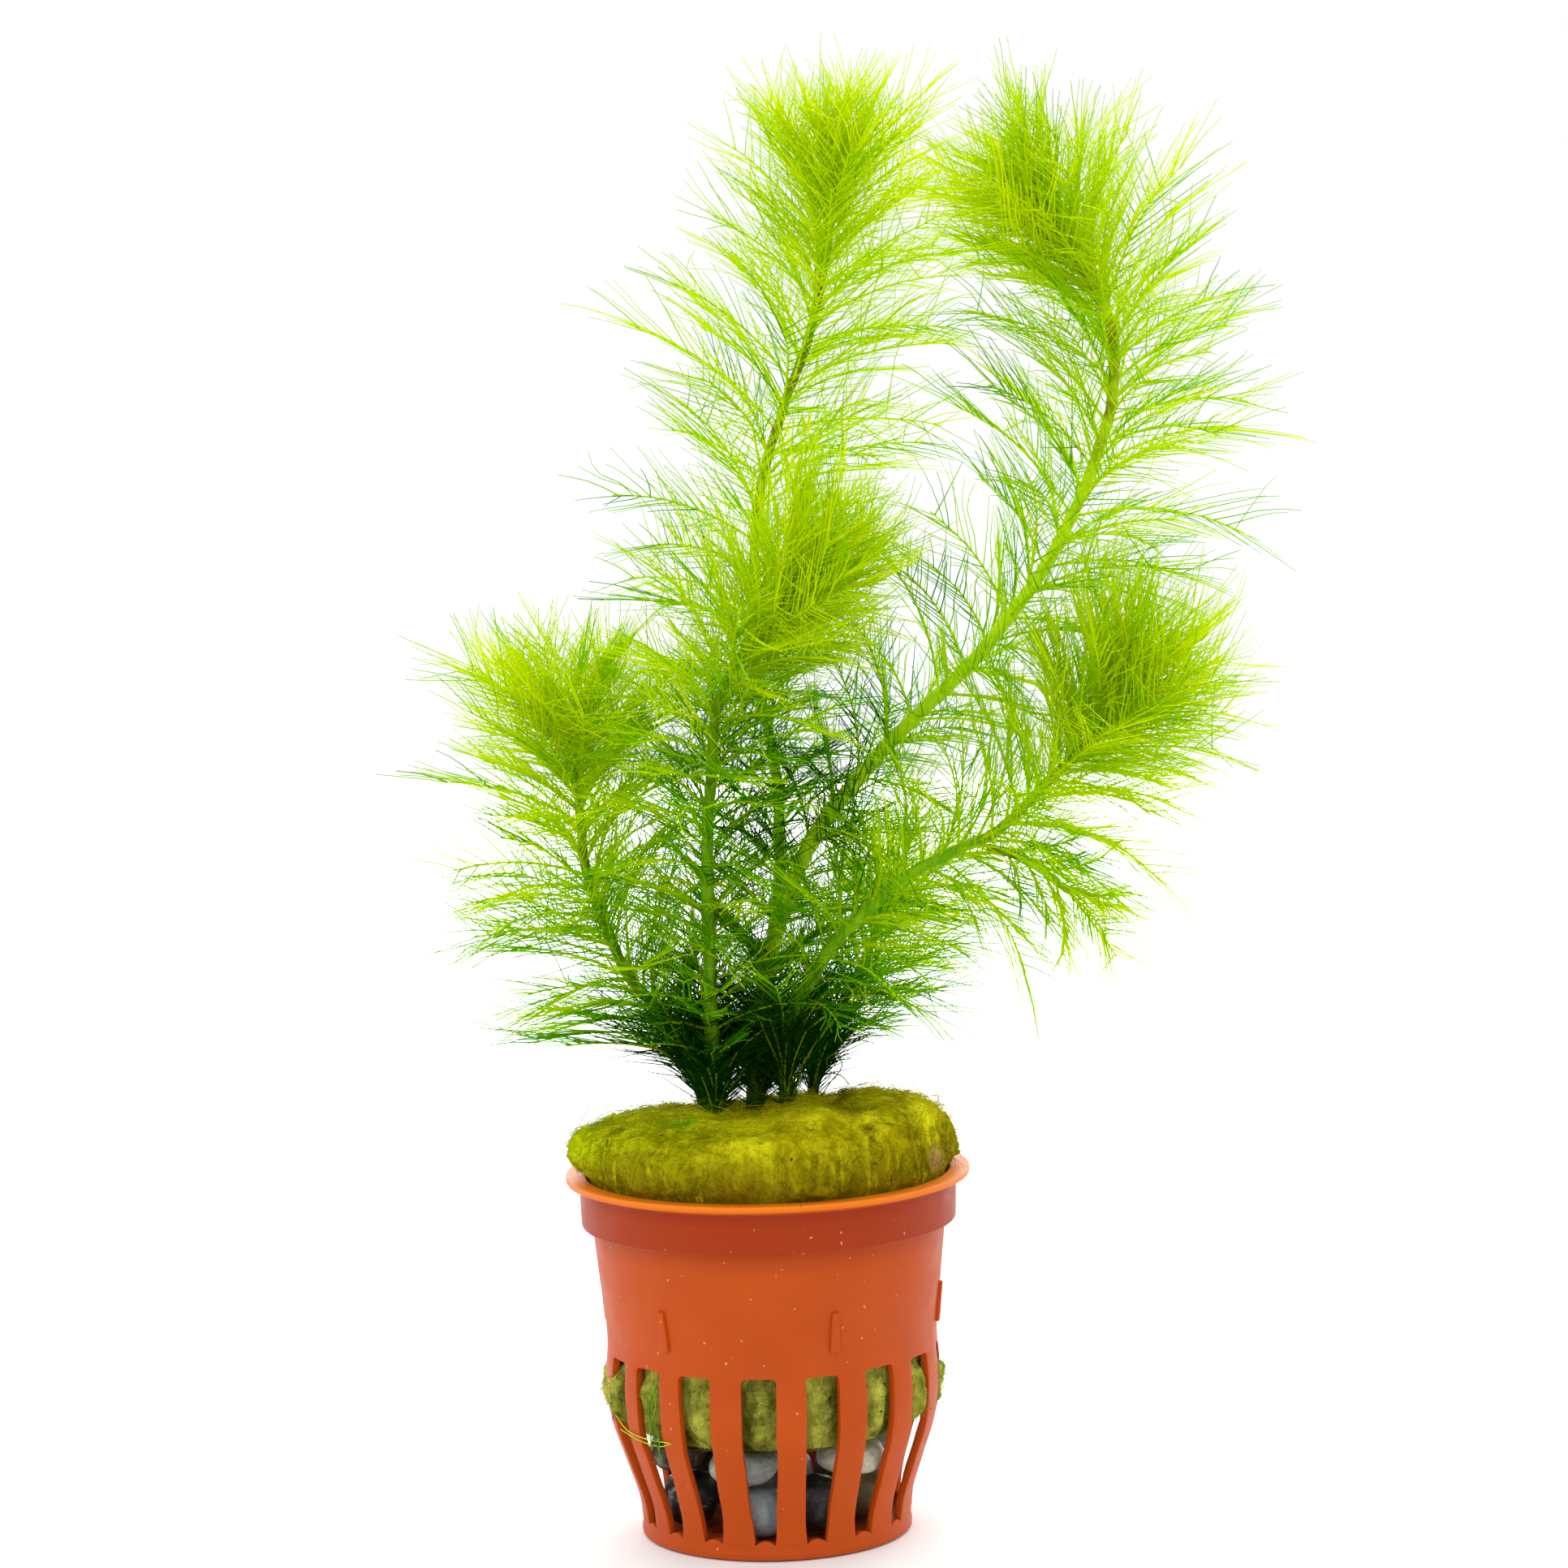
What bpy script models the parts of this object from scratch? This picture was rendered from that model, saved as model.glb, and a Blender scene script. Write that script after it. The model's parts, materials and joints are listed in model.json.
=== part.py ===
"""Potted water milfoil: feathery shoots in a plug of mineral wool over pebbles, in a slotted plastic pot.

Metres, +Z up. The origin is the centre of the pot's flat underside, and the front faces -Y.
Dimensions below are millimetres and are scaled by MM where the shapes are made.
"""

import bpy
import bmesh
from math import acos, atan2, cos, sin, pi, radians
from random import Random
from mathutils import Matrix, Vector, noise
from mathutils.bvhtree import BVHTree

MM = 0.001
GAP = 0.35

# Pot
LIP_RADIUS = 26.0
COLLAR_RADIUS = 24.1
RIM_TOP = 46.7
COLLAR_BOTTOM = 41.0
BASE_RADIUS = 17.3
FLOOR_THICKNESS = 1.3
POT_STEPS = 32
SLOT_COUNT = 16
SLOT_PHASE = -95.0
SLOT_TOP = 24.2
SLOT_BOTTOM = 1.9
RIB_COUNT = 6
RIB_PHASE = -125.0
DRAIN_COUNT = 4

# Outer side from the lip down, and inner side from the floor up: (radius, height)
POT_OUTSIDE = [
    (LIP_RADIUS - 0.5, RIM_TOP), (LIP_RADIUS, RIM_TOP - 0.45), (LIP_RADIUS - 0.25, RIM_TOP - 1.2),
    (COLLAR_RADIUS, RIM_TOP - 1.45), (COLLAR_RADIUS, COLLAR_BOTTOM), (22.75, COLLAR_BOTTOM - 0.3),
    (21.25, 25.6), (21.5, 20.5), (21.05, 15.2), (19.4, 10.0), (17.65, 4.4), (BASE_RADIUS, 0.9),
    (BASE_RADIUS, 0.0),
]
POT_INSIDE = [
    (15.9, FLOOR_THICKNESS), (18.4, 10.0), (20.05, 15.4), (20.3, 25.6), (21.75, 40.3),
    (23.2, RIM_TOP),
]

# Mineral wool: (radius, height, how far it swells out through the slots), from below to above
WOOL_RINGS = [
    (11.0, 13.9, 0.0), (17.4, 14.3, 0.6), (17.9, 17.2, 3.7), (18.0, 20.6, 3.9), (18.2, 23.9, 0.0),
    (21.1, 40.2, 0.0), (22.4, 47.1, 0.0), (24.8, 48.3, 0.0), (24.2, 51.2, 0.0), (19.0, 53.9, 0.0),
    (9.5, 55.1, 0.0),
]
WOOL_BOTTOM = 13.7
WOOL_TOP = 55.4
WOOL_COLUMNS = 32
STEM_FOOT = 16.5

# Pebbles: name, angle from the front in degrees, distance from the axis, height, half sizes, colour
PEBBLES = [
    ("pebble_blue_grey", -13, 11.6, 4.9, (4.3, 3.7, 3.2), (0.19, 0.22, 0.23)),
    ("pebble_black", 29, 11.7, 5.3, (4.0, 3.6, 3.5), (0.02, 0.02, 0.02)),
    ("pebble_olive", 75, 11.6, 5.1, (4.4, 3.8, 3.3), (0.17, 0.13, 0.05)),
    ("pebble_sand", 127, 11.5, 5.2, (4.9, 3.9, 3.3), (0.42, 0.36, 0.26)),
    ("pebble_slate", 181, 11.6, 5.0, (4.6, 3.8, 3.3), (0.09, 0.10, 0.11)),
    ("pebble_dark_brown", 234, 11.6, 5.2, (4.8, 3.7, 3.4), (0.07, 0.05, 0.03)),
    ("pebble_charcoal", 292, 11.8, 5.1, (4.3, 3.8, 3.4), (0.03, 0.03, 0.03)),
    ("pebble_middle", 90, 0.0, 6.0, (5.6, 5.2, 4.0), (0.24, 0.22, 0.18)),
    ("pebble_grey_white", -18, 13.0, 11.0, (5.0, 3.9, 2.3), (0.46, 0.49, 0.46)),
    ("pebble_pale_yellow", 46, 13.2, 11.3, (4.9, 3.9, 2.3), (0.68, 0.66, 0.50)),
    ("pebble_grey_green", 105, 13.1, 11.1, (4.9, 3.9, 2.2), (0.25, 0.28, 0.20)),
    ("pebble_buff", 168, 13.1, 11.2, (5.2, 3.9, 2.2), (0.40, 0.32, 0.22)),
    ("pebble_dark_grey", 228, 13.0, 11.1, (4.9, 3.9, 2.3), (0.08, 0.09, 0.09)),
    ("pebble_brown", 287, 13.2, 11.1, (4.9, 3.8, 2.3), (0.12, 0.08, 0.05)),
]

# Shoots: the path of the stem's middle, stem radius low and high, whorl count, first whorl's distance
# along the stem, leaf length low, middle and at the crown, and how bare the lower stem is
SHOOTS = {
    "tall_shoot": dict(
        path=[(-1, 3, 42), (-0.9, 3, 55), (1, 5, 71), (2.6, 7, 84), (2.4, 9, 97), (0.4, 11, 110),
              (0.2, 12, 121), (1.4, 13, 133), (4.5, 14, 143), (8, 15, 152), (10.6, 15.5, 162),
              (11.8, 16, 172)],
        radius=(1.0, 0.6), whorls=17, first=22.0, tighten=1.7, leaves=(15, 27, 18)),
    "arching_shoot": dict(
        path=[(-1.4, -1, 42), (-1.2, -1, 57), (0.6, -1, 72), (4.1, -1.5, 83.5), (8, -2, 91),
              (13, -3, 97), (18.5, -4, 103), (25, -5, 109), (31, -6, 115.5), (37, -7, 123.5),
              (41.3, -8, 131.5), (44.4, -9, 139.5), (46, -9.5, 147.5), (45.4, -10, 153.5),
              (42.6, -10, 159.5), (39, -10, 165)],
        radius=(1.4, 0.65), whorls=19, first=26.0, tighten=1.5, leaves=(13, 28, 19)),
    "front_shoot": dict(
        path=[(-6.2, -5, 42), (-6.4, -6, 58), (-6.5, -9, 73.5), (-6.3, -12, 88.5), (-5.6, -14, 99),
              (-4.6, -16, 107), (-2.2, -17, 112.5), (1.4, -18, 117), (6, -19, 122)],
        radius=(1.1, 0.6), whorls=13, first=19.5, tighten=1.45, leaves=(16, 20, 16)),
    "left_shoot": dict(
        path=[(-7.5, 1, 42), (-8.2, 0, 57), (-12.5, 0, 66), (-17, -1, 72.5), (-19.8, -2, 79),
              (-21.7, -2.5, 85.5), (-22.4, -3, 93), (-22.6, -3, 99), (-23.2, -3.5, 104)],
        radius=(0.95, 0.55), whorls=12, first=18.5, tighten=1.35, leaves=(20, 22, 16)),
    "right_shoot": dict(
        path=[(3.2, -4, 42), (2.6, -3.5, 58), (3.4, -4, 66), (7.4, -7, 74), (12.6, -9, 80.3),
              (18.8, -11, 85.5), (25, -12, 88.6), (30, -13, 91), (36, -14, 96.7), (41.2, -15, 102),
              (45, -16, 107)],
        radius=(1.15, 0.55), whorls=12, first=19.0, tighten=1.4, leaves=(18, 22, 16)),
    "right_side_shoot": dict(
        path=[(28.6, -14.6, 89.0), (31.5, -16.5, 88.4), (35, -18, 86.4), (38.2, -19, 83.8)],
        radius=(0.6, 0.45), whorls=4, first=2.4, tighten=1.1, leaves=(13, 14, 11)),
    "back_shoot": dict(
        path=[(5.6, 5, 42), (6.2, 6, 56), (10, 11, 65), (14, 15.5, 72.5), (16.5, 18, 78)],
        radius=(1.0, 0.6), whorls=5, first=18.0, tighten=1.1, leaves=(17, 17, 14)),
}
STEM_SIDES = 8
LEAVES_PER_WHORL = 4
LEAF_THICKNESS = 0.55
LEAF_HALF_WIDTH = 2.7
BAND_HEIGHT = 0.9
LONGEST_AT = 0.62
# A blade that would meet another is tried again: share of its length, more droop, turn about the stem
LEAF_TRIES = [(1, 0, 0), (1, -8, 6), (1, 8, -6), (1, -14, -12), (0.9, 12, 12), (0.85, -20, 0),
              (0.75, 0, 14), (0.75, 8, -14), (0.6, -10, 0), (0.6, 10, 8), (0.5, 0, -10), (0.4, -12, 4)]


def clear_scene():
    for obj in list(bpy.data.objects):
        bpy.data.objects.remove(obj, do_unlink=True)


def new_collection(name):
    collection = bpy.data.collections.new(name)
    bpy.context.scene.collection.children.link(collection)
    return collection


def new_material(name, colour, roughness):
    material = bpy.data.materials.new(name)
    material.use_nodes = True
    shader = material.node_tree.nodes["Principled BSDF"]
    shader.inputs["Base Color"].default_value = (*colour, 1.0)
    shader.inputs["Roughness"].default_value = roughness
    shader.inputs["Metallic"].default_value = 0.0
    material.diffuse_color = (*colour, 1.0)
    return material


def add_object(name, mesh, collection, material=None, smooth=True):
    obj = bpy.data.objects.new(name, mesh)
    collection.objects.link(obj)
    if material:
        mesh.materials.append(material)
    if smooth:
        mesh.shade_smooth()
        mesh.set_sharp_from_angle(angle=radians(40))
    return obj


def mesh_of(bm, name):
    bm.normal_update()
    mesh = bpy.data.meshes.new(name)
    bm.to_mesh(mesh)
    bm.free()
    return mesh


def hide_cutter(obj):
    obj.hide_render = True
    obj.display_type = "WIRE"


def cut(obj, cutter, operation="DIFFERENCE"):
    modifier = obj.modifiers.new(cutter.name, "BOOLEAN")
    modifier.operation = operation
    modifier.object = cutter
    modifier.solver = "EXACT"


# Pot: one turned profile, ribs joined on its wall, slots and drainage holes cut through it

def turned(name, profile, steps, collection, material):
    mesh = bpy.data.meshes.new(name)
    verts = [(r * MM, 0, z * MM) for r, z in profile]
    mesh.from_pydata(verts, [(i, i + 1) for i in range(len(verts) - 1)], [])
    obj = add_object(name, mesh, collection, material, smooth=False)
    screw = obj.modifiers.new("turn", "SCREW")
    screw.steps = screw.render_steps = steps
    screw.use_merge_vertices = True
    screw.merge_threshold = 0.00001
    screw.use_smooth_shade = True
    return obj


def slot_outline():
    """Half widths of a slot from its top down: wide and square above, narrow with an arched foot."""
    half = [(2.0, SLOT_TOP), (2.1, 14.0), (1.2, SLOT_BOTTOM)]
    right = [(x, z) for x, z in half]
    left = [(-x, z) for x, z in reversed(half)]
    return right + [(0.0, SLOT_BOTTOM + 0.6)] + left


def prism_ring(name, outline, near, far, count, phase, collection, flat=False):
    """Copies of one flat outline turned about the axis, each drawn out along its own radius."""
    bm = bmesh.new()
    for k in range(count):
        turn = Matrix.Rotation(radians(phase + 360.0 / count * k), 4, "Z")
        if flat:
            points = [turn @ Vector((x * MM, y * MM, -MM)) for x, y in outline]
            draw = Vector((0, 0, 4 * MM))
        else:
            points = [turn @ Vector((near * MM, x * MM, z * MM)) for x, z in outline]
            draw = turn @ Vector(((far - near) * MM, 0, 0))
        face = bm.faces.new([bm.verts.new(p) for p in points])
        grown = bmesh.ops.extrude_face_region(bm, geom=[face])
        bmesh.ops.translate(bm, vec=draw, verts=[v for v in grown["geom"] if isinstance(v, bmesh.types.BMVert)])
    bmesh.ops.recalc_face_normals(bm, faces=bm.faces[:])
    obj = add_object(name, mesh_of(bm, name), collection, smooth=False)
    hide_cutter(obj)
    return obj


def make_ribs(collection):
    """Short upright fins that stand on the wall above the slots."""
    bm = bmesh.new()
    for k in range(RIB_COUNT):
        angle = radians(RIB_PHASE + 360.0 / RIB_COUNT * k)
        place = Matrix.Rotation(angle, 4, "Z") @ Matrix.Translation((21.75 * MM, 0, 29.8 * MM))
        place = place @ Matrix.Rotation(radians(5.8), 4, "Y")
        size = Matrix.Diagonal((0.9 * MM, 0.45 * MM, 5.0 * MM, 1))
        bmesh.ops.create_cube(bm, size=1.0, matrix=place @ size)
    obj = add_object("pot_ribs", mesh_of(bm, "pot_ribs"), collection, smooth=False)
    hide_cutter(obj)
    return obj


def make_pot(parts, cutters):
    terracotta = new_material("pot terracotta plastic", (0.57, 0.10, 0.02), 0.42)
    profile = [(0.0, FLOOR_THICKNESS)] + POT_INSIDE + POT_OUTSIDE + [(0.0, 0.0)]
    pot = turned("pot", profile, POT_STEPS, parts, terracotta)
    cut(pot, make_ribs(cutters), "UNION")
    cut(pot, prism_ring("pot_slots", slot_outline(), 13.0, 24.0, SLOT_COUNT, SLOT_PHASE, cutters))
    drain = [(6.0, -1.1), (11.5, -1.1), (11.5, 1.1), (6.0, 1.1)]
    cut(pot, prism_ring("pot_drains", drain, 0, 0, DRAIN_COUNT, 45.0, cutters, flat=True))
    return pot


# Mineral wool: a sphere's rings set to the plug's profile, swollen out at each slot

def wool_crest(x, y):
    """Lumps of the wool's crown: the right side stands higher than the left, with a crease between."""
    tilt = 1.5 * x / 25.0
    lumps = 1.0 * noise.noise(Vector((x * 0.11, y * 0.11, 3.1)))
    crease = -1.1 * max(0.0, 1.0 - abs(x - 8.0 + 0.25 * y) / 4.0) * (1.0 if y < 0 else 0.4)
    return tilt + lumps + crease


def make_wool(parts, cutters):
    bm = bmesh.new()
    rows = len(WOOL_RINGS) + 1
    bmesh.ops.create_uvsphere(bm, u_segments=WOOL_COLUMNS, v_segments=rows, radius=1.0)
    per_slot = WOOL_COLUMNS // SLOT_COUNT
    for v in bm.verts:
        row = round((1.0 - acos(max(-1.0, min(1.0, v.co.z))) / pi) * rows)
        if row == 0 or row == rows:
            v.co = Vector((0, 0, (WOOL_BOTTOM if row == 0 else WOOL_TOP) * MM))
            continue
        r, z, swell = WOOL_RINGS[row - 1]
        column = round(angle_of(v.co) / (2 * pi) * WOOL_COLUMNS) % WOOL_COLUMNS
        # every second column stands in a slot, and the one between lies behind a bar
        angle = radians(SLOT_PHASE + column * 360.0 / WOOL_COLUMNS)
        if swell and column % per_slot == 0:
            r += swell * (0.7 + 0.3 * abs(cos(angle)))
        if row >= 8:
            r += 0.5 * noise.noise(Vector((cos(angle) * 2.2, sin(angle) * 2.2, z * 0.2)))
        x, y = r * cos(angle), r * sin(angle)
        if row >= 9:
            z += wool_crest(x, y)
        v.co = Vector((x * MM, y * MM, z * MM))
    bmesh.ops.recalc_face_normals(bm, faces=bm.faces[:])
    green = new_material("mineral wool", (0.36, 0.36, 0.03), 0.9)
    wool = add_object("rock_wool", mesh_of(bm, "rock_wool"), parts, green)
    for name, shoot in SHOOTS.items():
        if shoot["path"][0][2] > WOOL_TOP:
            continue
        cut(wool, make_plug(name, shoot, cutters))
    return wool


def angle_of(vector):
    return atan2(vector.y, vector.x) % (2 * pi)


def make_plug(name, shoot, cutters):
    """The hollow that a stem's foot stands in."""
    path = Path(shoot["path"])
    bm = bmesh.new()
    stations = [-GAP - 0.2, STEM_FOOT]
    loft_stem(bm, path, stations, lambda s: shoot["radius"][0] + GAP)
    obj = add_object("hollow_" + name, mesh_of(bm, "hollow_" + name), cutters, smooth=False)
    hide_cutter(obj)
    return obj


# Pebbles

def make_pebbles(parts):
    for index, (name, angle, distance, height, half, colour) in enumerate(PEBBLES):
        bm = bmesh.new()
        bmesh.ops.create_uvsphere(bm, u_segments=8, v_segments=4, radius=1.0)
        for v in bm.verts:
            lump = 1.0 + 0.10 * noise.noise(v.co * 1.3 + Vector((index * 7.3, 0, 0)))
            v.co = Vector([v.co[i] * lump * half[i] * MM for i in range(3)])
        stone = new_material(name.replace("_", " "), colour, 0.5)
        obj = add_object(name, mesh_of(bm, name), parts, stone)
        turn = radians(angle - 90.0)
        obj.location = (distance * cos(turn) * MM, distance * sin(turn) * MM, height * MM)
        obj.rotation_euler = (0, 0, turn + pi / 2)


# Shoots: a stem lofted along its path, with leaf blades grown from its side faces

class Path:
    """A smooth path through given points, measured along its length."""

    def __init__(self, points, per_span=12):
        p = [Vector(q) for q in points]
        p = [2 * p[0] - p[1]] + p + [2 * p[-1] - p[-2]]
        self.points = []
        for i in range(1, len(p) - 2):
            for k in range(per_span):
                self.points.append(self.spline(p[i - 1:i + 3], k / per_span))
        self.points.append(p[-2])
        self.lengths = [0.0]
        for a, b in zip(self.points, self.points[1:]):
            self.lengths.append(self.lengths[-1] + (b - a).length)
        self.length = self.lengths[-1]
        self.frames = self.turned_frames()

    @staticmethod
    def spline(p, t):
        a, b, c, d = p
        return 0.5 * (2 * b + (c - a) * t + (2 * a - 5 * b + 4 * c - d) * t * t
                      + (3 * b - a - 3 * c + d) * t ** 3)

    def turned_frames(self):
        """A sideways direction at each point, carried along without twist."""
        side = Vector((1, 0, 0))
        frames = []
        for i in range(len(self.points)):
            tangent = self.tangent_at(i)
            side = (side - tangent * side.dot(tangent)).normalized()
            frames.append(side.copy())
        return frames

    def tangent_at(self, i):
        a = self.points[max(0, i - 1)]
        b = self.points[min(len(self.points) - 1, i + 1)]
        return (b - a).normalized()

    def at(self, s):
        """Point, tangent and side direction at the distance s; it runs on straight past the ends."""
        if s <= 0 or s >= self.length:
            i = 0 if s <= 0 else len(self.points) - 1
            tangent = self.tangent_at(i)
            return self.points[i] + tangent * (s - self.lengths[i]), tangent, self.frames[i]
        i = next(k for k in range(len(self.lengths) - 1) if self.lengths[k + 1] >= s)
        t = (s - self.lengths[i]) / (self.lengths[i + 1] - self.lengths[i])
        point = self.points[i].lerp(self.points[i + 1], t)
        tangent = self.tangent_at(i).lerp(self.tangent_at(i + 1), t).normalized()
        side = self.frames[i].lerp(self.frames[i + 1], t)
        return point, tangent, (side - tangent * side.dot(tangent)).normalized()


def loft_stem(bm, path, stations, radius):
    """A closed tube with a ring at each station. It returns the side faces above each station."""
    def place(s, unit):
        point, tangent, side = path.at(s)
        across = tangent.cross(side)
        return (point + (side * unit[0] + across * unit[1]) * radius(s)) * MM

    units = [(cos(2 * pi * (k + 0.5) / STEM_SIDES), sin(2 * pi * (k + 0.5) / STEM_SIDES))
             for k in range(STEM_SIDES)]
    cap = bm.faces.new([bm.verts.new(place(stations[0], u)) for u in units])
    ring = list(cap.verts)
    bands = []
    for s in stations[1:]:
        below = cap
        grown = bmesh.ops.extrude_face_region(bm, geom=[below])
        cap = next(g for g in grown["geom"] if isinstance(g, bmesh.types.BMFace))
        if bands:
            bm.faces.remove(below)
        lower, ring = ring, list(cap.verts)
        # keep the ring in the same order as the one below, by the edges that join them
        joined = {e.other_vert(v): v for v in lower for e in v.link_edges if e.other_vert(v) in ring}
        ring = [next(n for n in ring if joined.get(n) is v) for v in lower]
        for v, unit in zip(ring, units):
            v.co = place(s, unit)
        sides = []
        for k in range(STEM_SIDES):
            corners = {lower[k - 1], lower[k], ring[k - 1], ring[k]}
            sides.append(next(f for f in lower[k].link_faces if set(f.verts) == corners))
        bands.append(sides)
    bmesh.ops.recalc_face_normals(bm, faces=bm.faces[:])
    return bands


def whorl_distances(shoot, path):
    """Distances of the whorls along the stem, closer together towards the tip."""
    count, first = shoot["whorls"], shoot["first"]
    span = path.length - first - 1.6
    gaps = [1.0 + (shoot["tighten"] * 2.0) * (1 - k / (count - 1)) ** 1.2 for k in range(count - 1)]
    total = sum(gaps)
    out = [first]
    for g in gaps:
        out.append(out[-1] + span * g / total)
    return out


def blend(values, u):
    low, middle, high = values
    if u < LONGEST_AT:
        return low + (middle - low) * u / LONGEST_AT
    return middle + (high - middle) * (u - LONGEST_AT) / (1 - LONGEST_AT)


def leaf_shape(face, tangent, u, length, width, droop, spin, grow=0.0):
    """Four corners of a blade's widest section and its tip, from the face it grows on."""
    base = face.calc_center_median() / MM
    out = face.normal.copy()
    out = (out - tangent * out.dot(tangent)).normalized()
    out.rotate(Matrix.Rotation(spin, 3, tangent))
    open_in = radians(60 - 38 * u ** 2.2)
    open_out = radians(90 - 50 * u ** 2.4 + droop)
    middle = base + (tangent * cos(open_in) + out * sin(open_in)) * length * 0.45
    tip = middle + (tangent * cos(open_out) + out * sin(open_out)) * length * 0.55
    tip.z -= length * 0.10 * (1 - u)
    across = tangent.cross(out).normalized()
    lift = (tip - base).normalized().cross(across).normalized()
    if lift.dot(tangent) < 0:
        lift = -lift
    half = width * 0.5 + grow
    thick = LEAF_THICKNESS * 0.5 + grow
    corners = {(i, j): middle + across * half * i + lift * thick * j for i in (-1, 1) for j in (-1, 1)}
    return base, corners, tip, across, lift


def blade_triangles(shape):
    base, c, tip, across, lift = shape
    start = base + (tip - base).normalized() * 0.6
    b = {(i, j): start + across * 0.45 * i + lift * 0.4 * j for i in (-1, 1) for j in (-1, 1)}
    around = [(-1, -1), (1, -1), (1, 1), (-1, 1)]
    tris = []
    for k in range(4):
        p, q = around[k], around[(k + 1) % 4]
        tris += [(b[p], b[q], c[q]), (b[p], c[q], c[p]), (c[p], c[q], tip)]
    return tris


def tree_of(triangles):
    verts = [v for t in triangles for v in t]
    return BVHTree.FromPolygons(verts, [(3 * i, 3 * i + 1, 3 * i + 2) for i in range(len(verts) // 3)])


def grow_leaf(bm, face, tangent, shape):
    """Draws a side face of the stem out to the blade's widest section, and that to its tip."""
    base, corners, tip, across, lift = shape
    old = list(face.verts)
    centre = face.calc_center_median()
    keys = {}
    for v in old:
        d = v.co - centre
        keys[v] = (1 if d.dot(across) > 0 else -1, 1 if d.dot(tangent) > 0 else -1)
    if len(set(keys.values())) < 4:
        return False
    grown = bmesh.ops.extrude_discrete_faces(bm, faces=[face])
    top = grown["faces"][0]
    start = {tuple(round(c, 9) for c in v.co): keys[v] for v in old}
    for v in top.verts:
        v.co = corners[start[tuple(round(c, 9) for c in v.co)]] * MM
    poked = bmesh.ops.poke(bm, faces=[top])
    poked["verts"][0].co = tip * MM
    return True


def make_shoots(parts, obstacles):
    rng = Random(11)
    stems, placed = {}, []
    for name, shoot in SHOOTS.items():
        path = Path(shoot["path"])
        distances = whorl_distances(shoot, path)
        low, high = shoot["radius"]

        def radius(s, low=low, high=high, length=path.length):
            return low + (high - low) * max(0.0, min(1.0, s / length)) ** 0.8

        stations = [0.0] if distances[0] < STEM_FOOT else [0.0, STEM_FOOT]
        for s in distances:
            stations += [s, s + BAND_HEIGHT]
        stations.append(path.length)
        bm = bmesh.new()
        bands = loft_stem(bm, path, stations, radius)
        first = len(stations) - 1 - 2 * len(distances)
        whorls = [(s, bands[first + 2 * k]) for k, s in enumerate(distances)]
        stems[name] = (shoot, path, bm, whorls)
    stem_triangles = {}
    for name, (shoot, path, bm, whorls) in stems.items():
        found = []
        for loop in bm.calc_loop_triangles():
            found.append(tuple(l.vert.co / MM for l in loop))
        stem_triangles[name] = found
    counts = {}
    for name, (shoot, path, bm, whorls) in stems.items():
        others = tree_of([t for other, found in stem_triangles.items() if other != name for t in found])
        done = 0
        for k, (s, band) in enumerate(whorls):
            u = k / (len(whorls) - 1)
            point, tangent, side = path.at(s + BAND_HEIGHT / 2)
            for face in band[k % 2::STEM_SIDES // LEAVES_PER_WHORL]:
                length = blend(shoot["leaves"], u) * rng.uniform(0.93, 1.07)
                droop = rng.uniform(-4, 4)
                spin = radians(rng.uniform(-5, 5))
                width = 2 * LEAF_HALF_WIDTH * (0.55 + 0.45 * (1 - u)) * min(1.0, length / 18)
                shape = None
                nearby = tree_of(placed) if placed else None
                for share, more, turn in LEAF_TRIES:
                    tried = (face, tangent, u, length * share, width * (0.5 + 0.5 * share), droop + more,
                             spin + radians(turn))
                    wide = tree_of(blade_triangles(leaf_shape(*tried, grow=0.3)))
                    if wide.overlap(others) or any(wide.overlap(o) for o in obstacles):
                        continue
                    if nearby and wide.overlap(nearby):
                        continue
                    shape = leaf_shape(*tried)
                    break
                if shape and grow_leaf(bm, face, tangent, shape):
                    placed.extend(blade_triangles(shape))
                    done += 1
        counts[name] = done
        green = new_material(name.replace("_", " "), (0.22, 0.52, 0.02), 0.55)
        add_object(name, mesh_of(bm, name), parts, green, smooth=False)
    print("leaf blades:", counts, sum(counts.values()))


def scaled_tree(obj):
    """The evaluated object as a search tree in millimetres."""
    graph = bpy.context.evaluated_depsgraph_get()
    evaluated = obj.evaluated_get(graph)
    mesh = evaluated.to_mesh()
    mesh.calc_loop_triangles()
    points = [(obj.matrix_world @ v.co) / MM for v in mesh.vertices]
    tree = BVHTree.FromPolygons(points, [tuple(t.vertices) for t in mesh.loop_triangles])
    evaluated.to_mesh_clear()
    return tree


def main():
    clear_scene()
    parts = new_collection("potted milfoil")
    cutters = new_collection("cutters")
    pot = make_pot(parts, cutters)
    wool = make_wool(parts, cutters)
    make_pebbles(parts)
    bpy.context.view_layer.update()
    make_shoots(parts, [scaled_tree(pot), scaled_tree(wool)])
    bpy.context.view_layer.update()


main()
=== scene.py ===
import json
import math
import bpy
import bmesh
import numpy as np
from mathutils import Matrix, Vector, noise

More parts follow.
